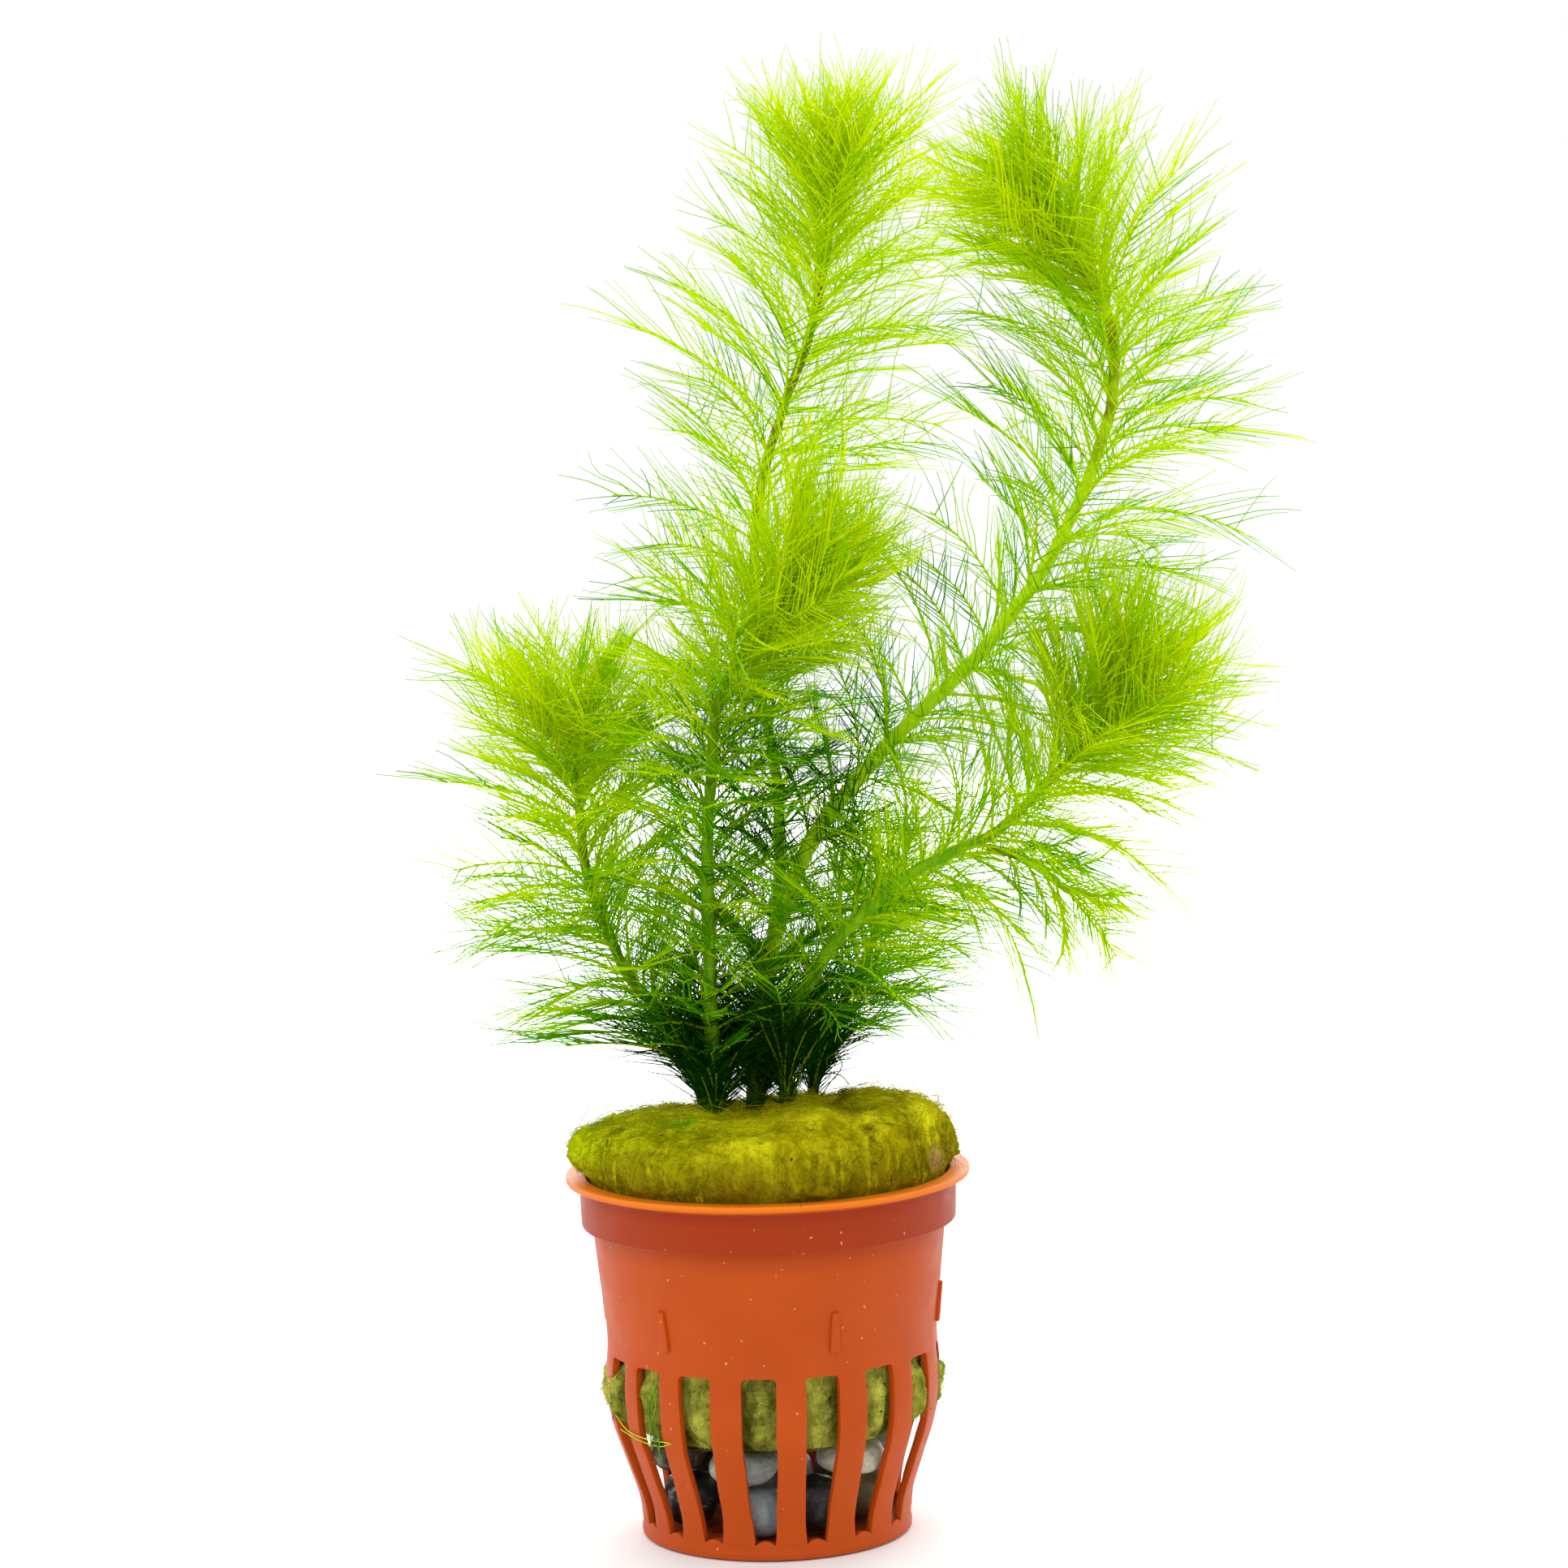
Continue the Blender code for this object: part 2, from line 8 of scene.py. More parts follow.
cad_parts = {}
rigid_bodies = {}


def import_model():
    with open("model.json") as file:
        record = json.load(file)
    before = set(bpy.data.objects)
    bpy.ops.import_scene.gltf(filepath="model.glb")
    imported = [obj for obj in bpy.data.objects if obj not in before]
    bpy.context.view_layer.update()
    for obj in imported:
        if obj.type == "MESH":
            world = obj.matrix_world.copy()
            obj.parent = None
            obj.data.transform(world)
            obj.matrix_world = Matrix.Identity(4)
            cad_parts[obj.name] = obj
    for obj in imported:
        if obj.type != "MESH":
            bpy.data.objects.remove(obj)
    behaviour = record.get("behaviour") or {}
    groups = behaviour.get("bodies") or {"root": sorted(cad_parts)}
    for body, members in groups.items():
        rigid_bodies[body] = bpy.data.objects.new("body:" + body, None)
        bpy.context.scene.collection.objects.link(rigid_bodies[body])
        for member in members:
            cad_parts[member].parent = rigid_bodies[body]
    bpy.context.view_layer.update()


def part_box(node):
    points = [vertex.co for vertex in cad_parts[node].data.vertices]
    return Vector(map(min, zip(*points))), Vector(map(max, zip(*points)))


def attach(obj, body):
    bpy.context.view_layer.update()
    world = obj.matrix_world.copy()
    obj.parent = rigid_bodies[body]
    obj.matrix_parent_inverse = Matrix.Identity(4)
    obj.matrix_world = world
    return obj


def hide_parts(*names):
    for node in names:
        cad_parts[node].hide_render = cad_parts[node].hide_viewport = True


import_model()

mm = 0.001
scene = bpy.context.scene


def smoothStep(low, high, x):
    t = np.clip((x - low) / (high - low), 0.0, 1.0)
    return t * t * (3 - 2 * t)


def newMesh(name, points, faces=(), edges=()):
    mesh = bpy.data.meshes.new(name)
    mesh.from_pydata([tuple(map(float, p)) for p in points], [tuple(map(int, e)) for e in edges],
                     [tuple(map(int, f)) for f in faces])
    mesh.update()
    return mesh


def meshFrom(bm, name):
    mesh = bpy.data.meshes.new(name)
    bm.to_mesh(mesh)
    bm.free()
    return mesh


def addAttributes(mesh, rows):
    # one number or one vector for each point
    for name, values in rows.items():
        data = np.ascontiguousarray(values, dtype=np.float32)
        kind, key = ("FLOAT_VECTOR", "vector") if data.ndim == 2 else ("FLOAT", "value")
        mesh.attributes.new(name, kind, "POINT").data.foreach_set(key, data.ravel())


def smoothUnder(mesh, degrees):
    mesh.shade_smooth()
    mesh.set_sharp_from_angle(angle=math.radians(degrees))


def addPiece(name, mesh, material=None):
    piece = bpy.data.objects.new(name, mesh)
    scene.collection.objects.link(piece)
    if material:
        mesh.materials.append(material)
    return piece


def putOn(piece, node):
    # the piece rides the one body and takes the place of the node it dresses
    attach(piece, "root")
    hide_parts(node)


def plainMesh(piece):
    # the evaluated shape as a plain mesh, with the modifiers gone
    graph = bpy.context.evaluated_depsgraph_get()
    mesh = bpy.data.meshes.new_from_object(piece.evaluated_get(graph))
    piece.modifiers.clear()
    old = piece.data
    piece.data = mesh
    bpy.data.meshes.remove(old)
    mesh.name = piece.name
    return mesh


def addBevel(piece, width, **settings):
    bevel = piece.modifiers.new("edge", "BEVEL")
    bevel.width = width * mm
    bevel.segments = 2
    for key, value in settings.items():
        setattr(bevel, key, value)


class Net:
    # a node tree, with a short way to add each kind of node that is used again and again
    def __init__(self, tree):
        self.tree = tree

    def link(self, target, value):
        if isinstance(value, bpy.types.NodeSocket):
            self.tree.links.new(value, target)
        else:
            target.default_value = value

    def node(self, kind, inputs=None, **settings):
        item = self.tree.nodes.new(kind)
        for key, value in settings.items():
            setattr(item, key, value)
        for key, value in (inputs or {}).items():
            self.link(item.inputs[key], value)
        row, column = divmod(len(self.tree.nodes), 12)
        item.location = (200 * column, -220 * row)
        return item.outputs

    def one(self, kind, inputs=None, **settings):
        return self.node(kind, inputs, **settings)[0]

    def math(self, operation, total, *others):
        for other in others or (0.0,):
            total = self.one("ShaderNodeMath", {0: total, 1: other}, operation=operation)
        return total

    def plus(self, *values):
        return self.math("ADD", *values)

    def times(self, *values):
        return self.math("MULTIPLY", *values)

    def vectors(self, operation, a, b, output=0):
        return self.node("ShaderNodeVectorMath", {0: a, 1: b}, operation=operation)[output]

    def scaled(self, vector, amount):
        return self.one("ShaderNodeVectorMath", {0: vector, "Scale": amount}, operation="SCALE")

    def combined(self, x, y, z):
        return self.one("ShaderNodeCombineXYZ", {0: x, 1: y, 2: z})

    def parts(self, vector):
        return self.node("ShaderNodeSeparateXYZ", {0: vector})

    # what follows is for materials

    def here(self):
        return self.node("ShaderNodeTexCoord")["Object"]

    def attribute(self, name):
        return self.node("ShaderNodeAttribute", attribute_name=name)["Fac"]

    def stretched(self, scale, turn=(0, 0, 0)):
        return self.one("ShaderNodeMapping", {"Vector": self.here(), "Scale": scale, "Rotation": turn})

    def noise(self, scale, detail=4.0, roughness=0.55, vector=None):
        return self.node("ShaderNodeTexNoise", {
            "Vector": vector or self.here(), "Scale": scale, "Detail": detail, "Roughness": roughness})["Fac"]

    def distance(self, centre):
        return self.vectors("DISTANCE", self.here(), centre, "Value")

    def spread(self, value, low, high, toLow=0.0, toHigh=1.0):
        return self.one("ShaderNodeMapRange", {0: value, 1: low, 2: high, 3: toLow, 4: toHigh})

    def ramp(self, factor, *stops):
        item = self.node("ShaderNodeValToRGB", {"Fac": factor})
        elements = self.tree.nodes[-1].color_ramp.elements
        while len(elements) < len(stops):
            elements.new(0.5)
        for element, (place, colour) in zip(elements, stops):
            element.position = place
            element.color = (*colour, 1.0)
        return item["Color"]

    def mix(self, factor, a, b):
        a, b = ((*c, 1.0) if isinstance(c, tuple) else c for c in (a, b))
        return self.node("ShaderNodeMix", {0: factor, 6: a, 7: b}, data_type="RGBA")[2]

    def tint(self, base, colour, value, *limits):
        # the colour lies over the base where the value is between the limits
        return self.mix(self.spread(value, *limits), base, colour)

    def bump(self, shader, height, strength, distance):
        raised = self.one("ShaderNodeBump", {"Height": height, "Strength": strength, "Distance": distance})
        self.tree.links.new(raised, shader.inputs["Normal"])

    # what follows is for geometry

    def field(self, name, kind="FLOAT"):
        return self.node("GeometryNodeInputNamedAttribute", {"Name": name}, data_type=kind)["Attribute"]

    def random(self, low, high, seed):
        return self.node("FunctionNodeRandomValue", {2: low, 3: high, "Seed": seed})[1]

    def turned(self, rotation, *turns):
        for axis, angle in turns:
            turn = self.one("FunctionNodeAxisAngleToRotation", {0: axis, 1: angle})
            rotation = self.one("FunctionNodeRotateRotation", {0: rotation, 1: turn}, rotation_space="LOCAL")
        return rotation

    def drift(self, scale, amount):
        # a sideways wander that follows each point's place
        place = self.one("GeometryNodeInputPosition")
        wave = self.node("ShaderNodeTexNoise", {"Vector": place, "Scale": scale, "Detail": 2.0})["Color"]
        return self.scaled(self.vectors("SUBTRACT", wave, (0.5, 0.5, 0.5)), amount)

    def tubes(self, curves, sides, thickness):
        ring = self.one("GeometryNodeCurvePrimitiveCircle", {"Resolution": sides, "Radius": 1.0})
        body = self.one("GeometryNodeCurveToMesh", {
            "Curve": curves, "Profile Curve": ring, "Scale": thickness, "Fill Caps": True})
        return self.one("GeometryNodeSetShadeSmooth", {0: body})

    def close(self, geometry, material):
        solid = self.one("GeometryNodeRealizeInstances", {0: geometry})
        coloured = self.one("GeometryNodeSetMaterial", {"Geometry": solid, "Material": material})
        self.tree.links.new(coloured, self.tree.nodes.new("NodeGroupOutput").inputs[0])
        return self


def newTree(name, inputs):
    # a Geometry Nodes group: geometry in, the named inputs, a material, geometry out
    tree = bpy.data.node_groups.new(name, "GeometryNodeTree")
    for label, kind in {"Geometry": "Geometry", **inputs, "Material": "Material"}.items():
        tree.interface.new_socket(label, in_out="INPUT", socket_type="NodeSocket" + kind)
    tree.interface.new_socket("Geometry", in_out="OUTPUT", socket_type="NodeSocketGeometry")
    return Net(tree), tree.nodes.new("NodeGroupInput").outputs


def runTree(piece, net, values):
    modifier = piece.modifiers.new(net.tree.name, "NODES")
    modifier.node_group = net.tree
    for item in net.tree.interface.items_tree:
        if item.item_type == "SOCKET" and item.in_out == "INPUT" and item.name in values:
            modifier[item.identifier] = values[item.name]
    piece.update_tag()
    return plainMesh(piece)


def newMaterial(name, values=None, subsurface=()):
    # fixed values go on the shader's own sockets; subsurface is weight, radius and scale
    material = bpy.data.materials.new(name)
    material.use_nodes = True
    shader = material.node_tree.nodes["Principled BSDF"]
    values = dict(values or {})
    values.update(zip(("Subsurface Weight", "Subsurface Radius", "Subsurface Scale"), subsurface))
    for key, value in values.items():
        shader.inputs[key].default_value = value
    return material, Net(material.node_tree), shader


def throughThin(net, shader, colour, share):
    # light comes through thin growth and single fibres
    glow = net.one("ShaderNodeBsdfTranslucent", {"Color": colour})
    mixed = net.one("ShaderNodeMixShader", {0: share, 1: shader.outputs[0], 2: glow})
    net.tree.links.new(mixed, net.tree.nodes["Material Output"].inputs["Surface"])


view = {"focal": 99.97, "place": (3.5, -552.0, 150.0), "down": 5.56, "roll": -1.6,
        "skyStrength": 1.0, "canopy": 0.55, "floorSize": 30.0, "floorGrey": 0.93,
        "lamps": {"frontLeft": ((-0.55, -0.75, 0.75), 0.7, 1.8), "behind": ((0.1, 0.8, 0.45), 1.1, 9.0)}}


def addToScene(name, data):
    item = bpy.data.objects.new(name, data)
    scene.collection.objects.link(item)
    return item


def makeStage():
    camera = addToScene("camera", bpy.data.cameras.new("camera"))
    camera.data.lens = view["focal"]
    camera.data.sensor_width = 36.0
    camera.data.clip_start = 0.01
    camera.location = [c * mm for c in view["place"]]
    tilt = Matrix.Rotation(math.radians(90 - view["down"]), 4, "X")
    camera.rotation_euler = (tilt @ Matrix.Rotation(math.radians(view["roll"]), 4, "Z")).to_euler()
    scene.camera = camera

    half = view["floorSize"] / 2
    corners = [(-half, -half, 0), (half, -half, 0), (half, half, 0), (-half, half, 0)]
    paint, _, shader = newMaterial("floorPaint", {
        "Base Color": (*[view["floorGrey"]] * 3, 1), "Roughness": 0.9, "Specular IOR Level": 0.1})
    floor = addPiece("floor", newMesh("floor", corners, [(0, 1, 2, 3)]), paint)
    floor.location.z = -0.2 * mm

    world = bpy.data.worlds.new("paleRoom")
    scene.world = world
    world.use_nodes = True
    sky = world.node_tree.nodes["Background"]
    sky.inputs["Color"].default_value = (1, 1, 1, 1)
    sky.inputs["Strength"].default_value = view["skyStrength"]
    for name, (place, size, power) in view["lamps"].items():
        lamp = addToScene(name, bpy.data.lights.new(name, "AREA"))
        lamp.data.size = size
        lamp.data.energy = power
        lamp.location = place
        lamp.rotation_euler = (Vector(place) - Vector((0, 0, 0.09))).to_track_quat("Z", "Y").to_euler()
        lamp.visible_camera = False
    canopy = addToScene("canopy", bpy.data.lights.new("canopy", "SUN"))
    canopy.data.energy = view["canopy"]
    canopy.data.angle = math.radians(120)
    scene.view_settings.view_transform = "Standard"


makeStage()
print("stage: camera, floor and lights")


pot = {
    "lipRadius": 26.0, "rimTop": 46.7, "collarRadius": 24.1, "collarBottom": 40.3,
    "wall": [(22.7, 40.3), (21.95, 33.0), (21.25, 25.6), (21.5, 20.5), (21.05, 15.2), (19.4, 10.0),
             (17.65, 4.4), (17.3, 1.3)],
    "thickness": 0.95, "floor": 1.3, "slots": 16, "slotPhase": -95.0, "slotTop": 24.2, "slotBottom": 1.9,
    "slotHalf": [(1.9, 1.3), (7.0, 1.7), (14.0, 2.2), (24.2, 2.22)], "cornerRound": 0.55,
    "slotArch": 0.55, "barWave": 0.16, "edgeRound": 0.13,
    "slotShift": {13: 6.0, 14: 2.5, 1: -0.6, 2: -1.0, 3: -1.5},
    "drains": {"count": 4, "inner": 6.0, "outer": 11.5, "half": 1.1},
    # rim is a painted highlight on the lip's top; crease and collar are painted shade
    "look": {"body": (0.50, 0.072, 0.004), "dark": (0.45, 0.060, 0.003), "rim": (0.82, 0.20, 0.008),
             "crease": (0.30, 0.03, 0.001), "collar": (0.31, 0.026, 0.0005), "fleck": (0.85, 0.45, 0.28)},
}
slotPitch = 360.0 / pot["slots"]


def potMaterial(look):
    material, net, shader = newMaterial("terracottaPlastic", {"Specular IOR Level": 0.14},
                                        (0.1, (1.0, 0.3, 0.1), 0.0015))
    height = net.parts(net.here())["Z"]
    base = net.ramp(net.noise(90.0, 3.0), (0.3, look["dark"]), (0.7, look["body"]))
    # painted highlight: the top of the lip is lightened to a bright orange
    base = net.tint(base, look["rim"], height, 0.0453, 0.0466)
    # painted shade: a band of the wall below the collar and the creases under the collar and the lip are
    # darkened, the creases most, and the collar under the lip is deeper
    for low, high, share in ((0.0386, 0.0399, 0.22), (0.0401, 0.0407, 0.5), (0.0449, 0.0454, 0.6)):
        band = net.times(net.spread(height, low - 0.0012, low),
                         net.spread(height, high + 0.0001, high - 0.0003))
        base = net.mix(net.times(band, share), base, look["crease"])
    # painted shade: the collar under the lip is darker and deeper in colour
    collar = net.times(net.spread(height, 0.0401, 0.0405), net.spread(height, 0.0456, 0.0452))
    base = net.mix(net.times(collar, 0.85), base, look["collar"])
    # pale dust and moulding flecks
    base = net.tint(base, look["fleck"], net.noise(1500.0, 1.0, 0.4), 0.76, 0.80, 0.0, 0.55)
    net.link(shader.inputs["Base Color"], base)
    net.link(shader.inputs["Roughness"], net.spread(net.noise(260.0, 5.0), 0.3, 0.75, 0.36, 0.52))
    net.bump(shader, net.noise(700.0), 0.18, 0.0002)
    return material


def arcCorner(before, corner, after, radius, steps=4):
    # a corner of a profile turned into a small arc
    a, c, b = (Vector(p) for p in (before, corner, after))
    toA, toB = (a - c).normalized(), (b - c).normalized()
    half = toA.angle(toB) / 2
    reach = min(radius / math.tan(half), (a - c).length * 0.48, (b - c).length * 0.48)
    start, end = c + toA * reach, c + toB * reach
    shares = [k / steps for k in range(steps + 1)]
    return [tuple(start * (1 - t) ** 2 + c * 2 * t * (1 - t) + end * t ** 2) for t in shares]


def roundedProfile(points):
    # an inner point's third number is the radius of its corner
    out = [points[0][:2]]
    for before, corner, after in zip(points, points[1:], points[2:]):
        out += arcCorner(before[:2], corner[:2], after[:2], corner[2]) if corner[2] else [corner[:2]]
    return out + [points[-1][:2]]


def wallRadius(z):
    # a smooth radius through the wall's given (radius, height) points
    radii, heights = (np.array(row[::-1]) for row in zip(*pot["wall"]))
    slopes = np.gradient(radii, heights)
    i = int(np.clip(np.searchsorted(heights, z) - 1, 0, len(heights) - 2))
    span = heights[i + 1] - heights[i]
    t = (z - heights[i]) / span
    a, b = 2 * t ** 3 - 3 * t ** 2 + 1, t ** 3 - 2 * t ** 2 + t
    c, d = -2 * t ** 3 + 3 * t ** 2, t ** 3 - t ** 2
    return a * radii[i] + b * span * slopes[i] + c * radii[i + 1] + d * span * slopes[i + 1]


def makePot():
    top, collar, low = pot["rimTop"], pot["collarRadius"], pot["collarBottom"]
    head = roundedProfile([
        (23.2, 43.5), (23.35, top, 0.25), (pot["lipRadius"], top + 0.05, 0.22), (25.85, top - 0.75, 0.2),
        (collar + 0.1, top - 1.2, 0.2), (collar - 0.05, low, 0.35), (22.75, low - 0.3, 0.3),
        (22.6, low - 1.6)])[1:-1]
    slotTop, slotBottom = pot["slotTop"], pot["slotBottom"]
    wallRows = [*np.linspace(low - 0.8, slotTop + 0.8, 20), slotTop + 0.3, slotTop, slotTop - 0.45,
                *np.linspace(slotTop, slotBottom, 27)[1:-1], slotBottom + 0.3, slotBottom, slotBottom - 0.25]
    wallRows = sorted(set(round(z, 4) for z in wallRows), reverse=True)
    outer = [(wallRadius(z), z) for z in wallRows]
    foot = roundedProfile([(17.3, 1.3), (17.32, 1.0, 0), (17.45, 0.8, 0.1), (17.42, 0.0, 0.25), (12.0, 0.0)])
    foot = foot[1:] + [(6.0, 0.0), (0.0, 0.0)]
    inner = [(r - pot["thickness"], z) for r, z in reversed(outer)]
    floorIn = [(r, pot["floor"]) for r in (0.0, 6.0, 12.0, 15.7)]
    throat = roundedProfile([(21.4, 39.6), (21.8, 40.7, 0.3), (23.15, 41.9, 0.4), (23.2, 44.0)])[1:]
    profile = head + outer + foot + floorIn + inner + throat
    outerAt = len(head)
    innerAt = len(head) + len(outer) + len(foot) + len(floorIn)
    rows = len(wallRows)
    slotRows = [i for i, z in enumerate(wallRows) if slotBottom - 1e-6 <= z <= slotTop + 1e-6]
    firstSlot, lastSlot = slotRows[0], slotRows[-1]

    inside = [-1, -0.93, -0.78, -0.42, 0, 0.42, 0.78, 0.93]
    across = [("slot", k) for k in inside] + [("bar", k / 6) for k in range(6)]
    columns = pot["slots"] * len(across)
    pitch = 2 * math.pi / pot["slots"]
    halfZ, halfW = zip(*pot["slotHalf"])

    def edgeAngle(slot, side, z):
        # where a slot's side stands, with the soft waves of a thin moulding
        r = wallRadius(min(40.2, max(1.3, z)))
        wave = noise.noise(Vector((slot * 3.7 + side, z * 0.22, 1.7))) * pot["barWave"]
        half = np.interp(z, halfZ, halfW) + wave * smoothStep(1.0, 4.0, z) * (1 - smoothStep(27, 33, z))
        return side * half / r + math.radians(pot["slotShift"].get(slot, 0.0))

    def slotEdge(row, slot, u):
        # how far a point on or near a slot's ends moves up or down, with round upper corners
        q = max(0.0, (abs(u) - 0.72) / 0.28)
        corner = 1 - math.sqrt(max(0.0, 1 - q * q))
        jitter = 0.22 * noise.noise(Vector((slot * 5.1, 0.3, 7.7)))
        if abs(row - firstSlot) < 2:
            part, share = (1, 1) if row == firstSlot else (0.7, 0.8)
            return jitter * part - pot["cornerRound"] * share * corner
        share = {lastSlot: 1, lastSlot - 1: 0.7, lastSlot - 2: 0.7}.get(row, 0)
        return pot["slotArch"] * share * (1 - u * u)

    def place(index, column):
        r, z = profile[index]
        slot, k = divmod(column, len(across))
        kind, u = across[k]
        left, right = edgeAngle(slot, -1, z), edgeAngle(slot, 1, z)
        if kind == "slot":
            turn = left + (right - left) * (u + 1) / 2
        else:
            nextLeft = pitch + edgeAngle((slot + 1) % pot["slots"], -1, z)
            turn = right + (nextLeft - right) * u
            u = 1.0 if u == 0 else None
        row = index - outerAt if index < innerAt else innerAt + rows - 1 - index
        if 0 <= row < rows and u is not None:
            z += slotEdge(row, slot, u)
        angle = math.radians(pot["slotPhase"]) + slot * pitch + turn
        return (r * math.cos(angle) * mm, r * math.sin(angle) * mm, z * mm)

    count = len(profile)
    points = [place(i, c) for i in range(count) for c in range(columns)]
    faces = []

    def opening(row, column):
        return firstSlot <= row < lastSlot and column % len(across) < len(inside)

    for i in range(count):
        j = (i + 1) % count
        if profile[i][0] == 0 and profile[j][0] == 0:
            continue
        for c in range(columns):
            if opening(i - outerAt, c) or opening(innerAt + rows - 2 - i, c):
                continue
            d = (c + 1) % columns
            faces.append((i * columns + c, j * columns + c, j * columns + d, i * columns + d))

    def onOuter(row, c):
        return (outerAt + row) * columns + c % columns

    def onInner(row, c):
        return (innerAt + rows - 1 - row) * columns + c % columns

    def rim(rowA, a, rowB, b):
        # a face through the wall, along an edge of a slot
        faces.append((onOuter(rowA, a), onOuter(rowB, b), onInner(rowB, b), onInner(rowA, a)))

    for slot in range(pot["slots"]):
        left = slot * len(across)
        right = left + len(inside)
        for row in range(firstSlot, lastSlot):
            rim(row, left, row + 1, left)
            rim(row + 1, right, row, right)
        for c in range(left, right):
            rim(firstSlot, c + 1, firstSlot, c)
            rim(lastSlot, c, lastSlot, c + 1)
    mesh = newMesh("pot_body", points, faces)
    bm = bmesh.new()
    bm.from_mesh(mesh)
    bmesh.ops.remove_doubles(bm, verts=bm.verts[:], dist=1e-6)
    bmesh.ops.recalc_face_normals(bm, faces=bm.faces[:])
    bm.to_mesh(mesh)
    bm.free()
    body = addPiece("pot_body", mesh, potMaterial(pot["look"]))
    cutDrains(body)
    addBevel(body, pot["edgeRound"], limit_method="ANGLE", angle_limit=math.radians(50))
    smoothUnder(plainMesh(body), 38)
    return body


def cutDrains(body):
    # drainage slots with round ends through the floor
    drains = pot["drains"]
    half = drains["half"]
    bm = bmesh.new()
    for k in range(drains["count"]):
        turn = Matrix.Rotation(math.radians(45 + 360 * k / drains["count"]), 4, "Z")
        outline = []
        for end, side in ((drains["outer"] - half, 0), (drains["inner"] + half, 180)):
            for step in range(9):
                a = math.radians(-90 + side + 180 * step / 8)
                spot = Vector(((end + half * math.cos(a)) * mm, half * math.sin(a) * mm, -mm))
                outline.append(bm.verts.new(turn @ spot))
        grown = bmesh.ops.extrude_face_region(bm, geom=[bm.faces.new(outline)])
        risen = [g for g in grown["geom"] if isinstance(g, bmesh.types.BMVert)]
        bmesh.ops.translate(bm, vec=(0, 0, 4 * mm), verts=risen)
    bmesh.ops.recalc_face_normals(bm, faces=bm.faces[:])
    cutter = addPiece("drains", meshFrom(bm, "drains"))
    cut = body.modifiers.new("drains", "BOOLEAN")
    cut.operation = "DIFFERENCE"
    cut.object = cutter
    plainMesh(body)
    bpy.data.objects.remove(cutter, do_unlink=True)


fins = {"count": 6, "phase": -128.5, "radius": 21.62, "height": 29.6, "length": 5.2, "width": 1.35,
        "depth": 0.8, "lean": 5.8, "taper": 0.35, "edgeRound": 0.12}


def finTree():
    # upright fins set round the wall, each narrower towards its top
    net, source = newTree("wallFins", {
        "Count": "Int", "Phase": "Float", "Radius": "Float", "Height": "Float", "Size": "Vector",
        "Lean": "Float", "Taper": "Float"})
    share = net.math("DIVIDE", net.one("GeometryNodeInputIndex"), source["Count"])
    angle = net.plus(net.times(share, 2 * math.pi), source["Phase"])
    x, y = (net.times(net.math(kind, angle), source["Radius"]) for kind in ("COSINE", "SINE"))
    placed = net.one("GeometryNodeSetPosition", {
        "Geometry": net.one("GeometryNodePoints", {"Count": source["Count"]}),
        "Position": net.combined(x, y, source["Height"])})
    leaning = net.one("FunctionNodeEulerToRotation", {0: net.combined(0.0, source["Lean"], angle)})
    corner = net.parts(net.one("GeometryNodeInputPosition"))
    upper = net.math("GREATER_THAN", corner["Z"], 0.0)
    keep = net.math("SUBTRACT", 1.0, net.times(upper, source["Taper"]))
    block = net.one("GeometryNodeSetPosition", {
        "Geometry": net.one("GeometryNodeMeshCube", {"Size": source["Size"]}),
        "Position": net.combined(corner["X"], net.times(corner["Y"], keep), corner["Z"])})
    copies = net.one("GeometryNodeInstanceOnPoints", {
        "Points": placed, "Instance": block, "Rotation": leaning})
    return net.close(copies, source["Material"])


def makeFins(material):
    piece = addPiece("pot_fins", newMesh("pot_fins", [(0, 0, 0)]))
    runTree(piece, finTree(), {
        "Count": fins["count"], "Phase": math.radians(fins["phase"]), "Radius": fins["radius"] * mm,
        "Height": fins["height"] * mm, "Lean": math.radians(fins["lean"]), "Taper": fins["taper"],
        "Material": material, "Size": [fins[key] * mm for key in ("depth", "width", "length")]})
    addBevel(piece, fins["edgeRound"])
    smoothUnder(plainMesh(piece), 40)
    return piece


potBody = makePot()
potFins = makeFins(potBody.data.materials[0])
putOn(potBody, "pot")
putOn(potFins, "pot")
print("pot:", len(potBody.data.polygons), "faces")


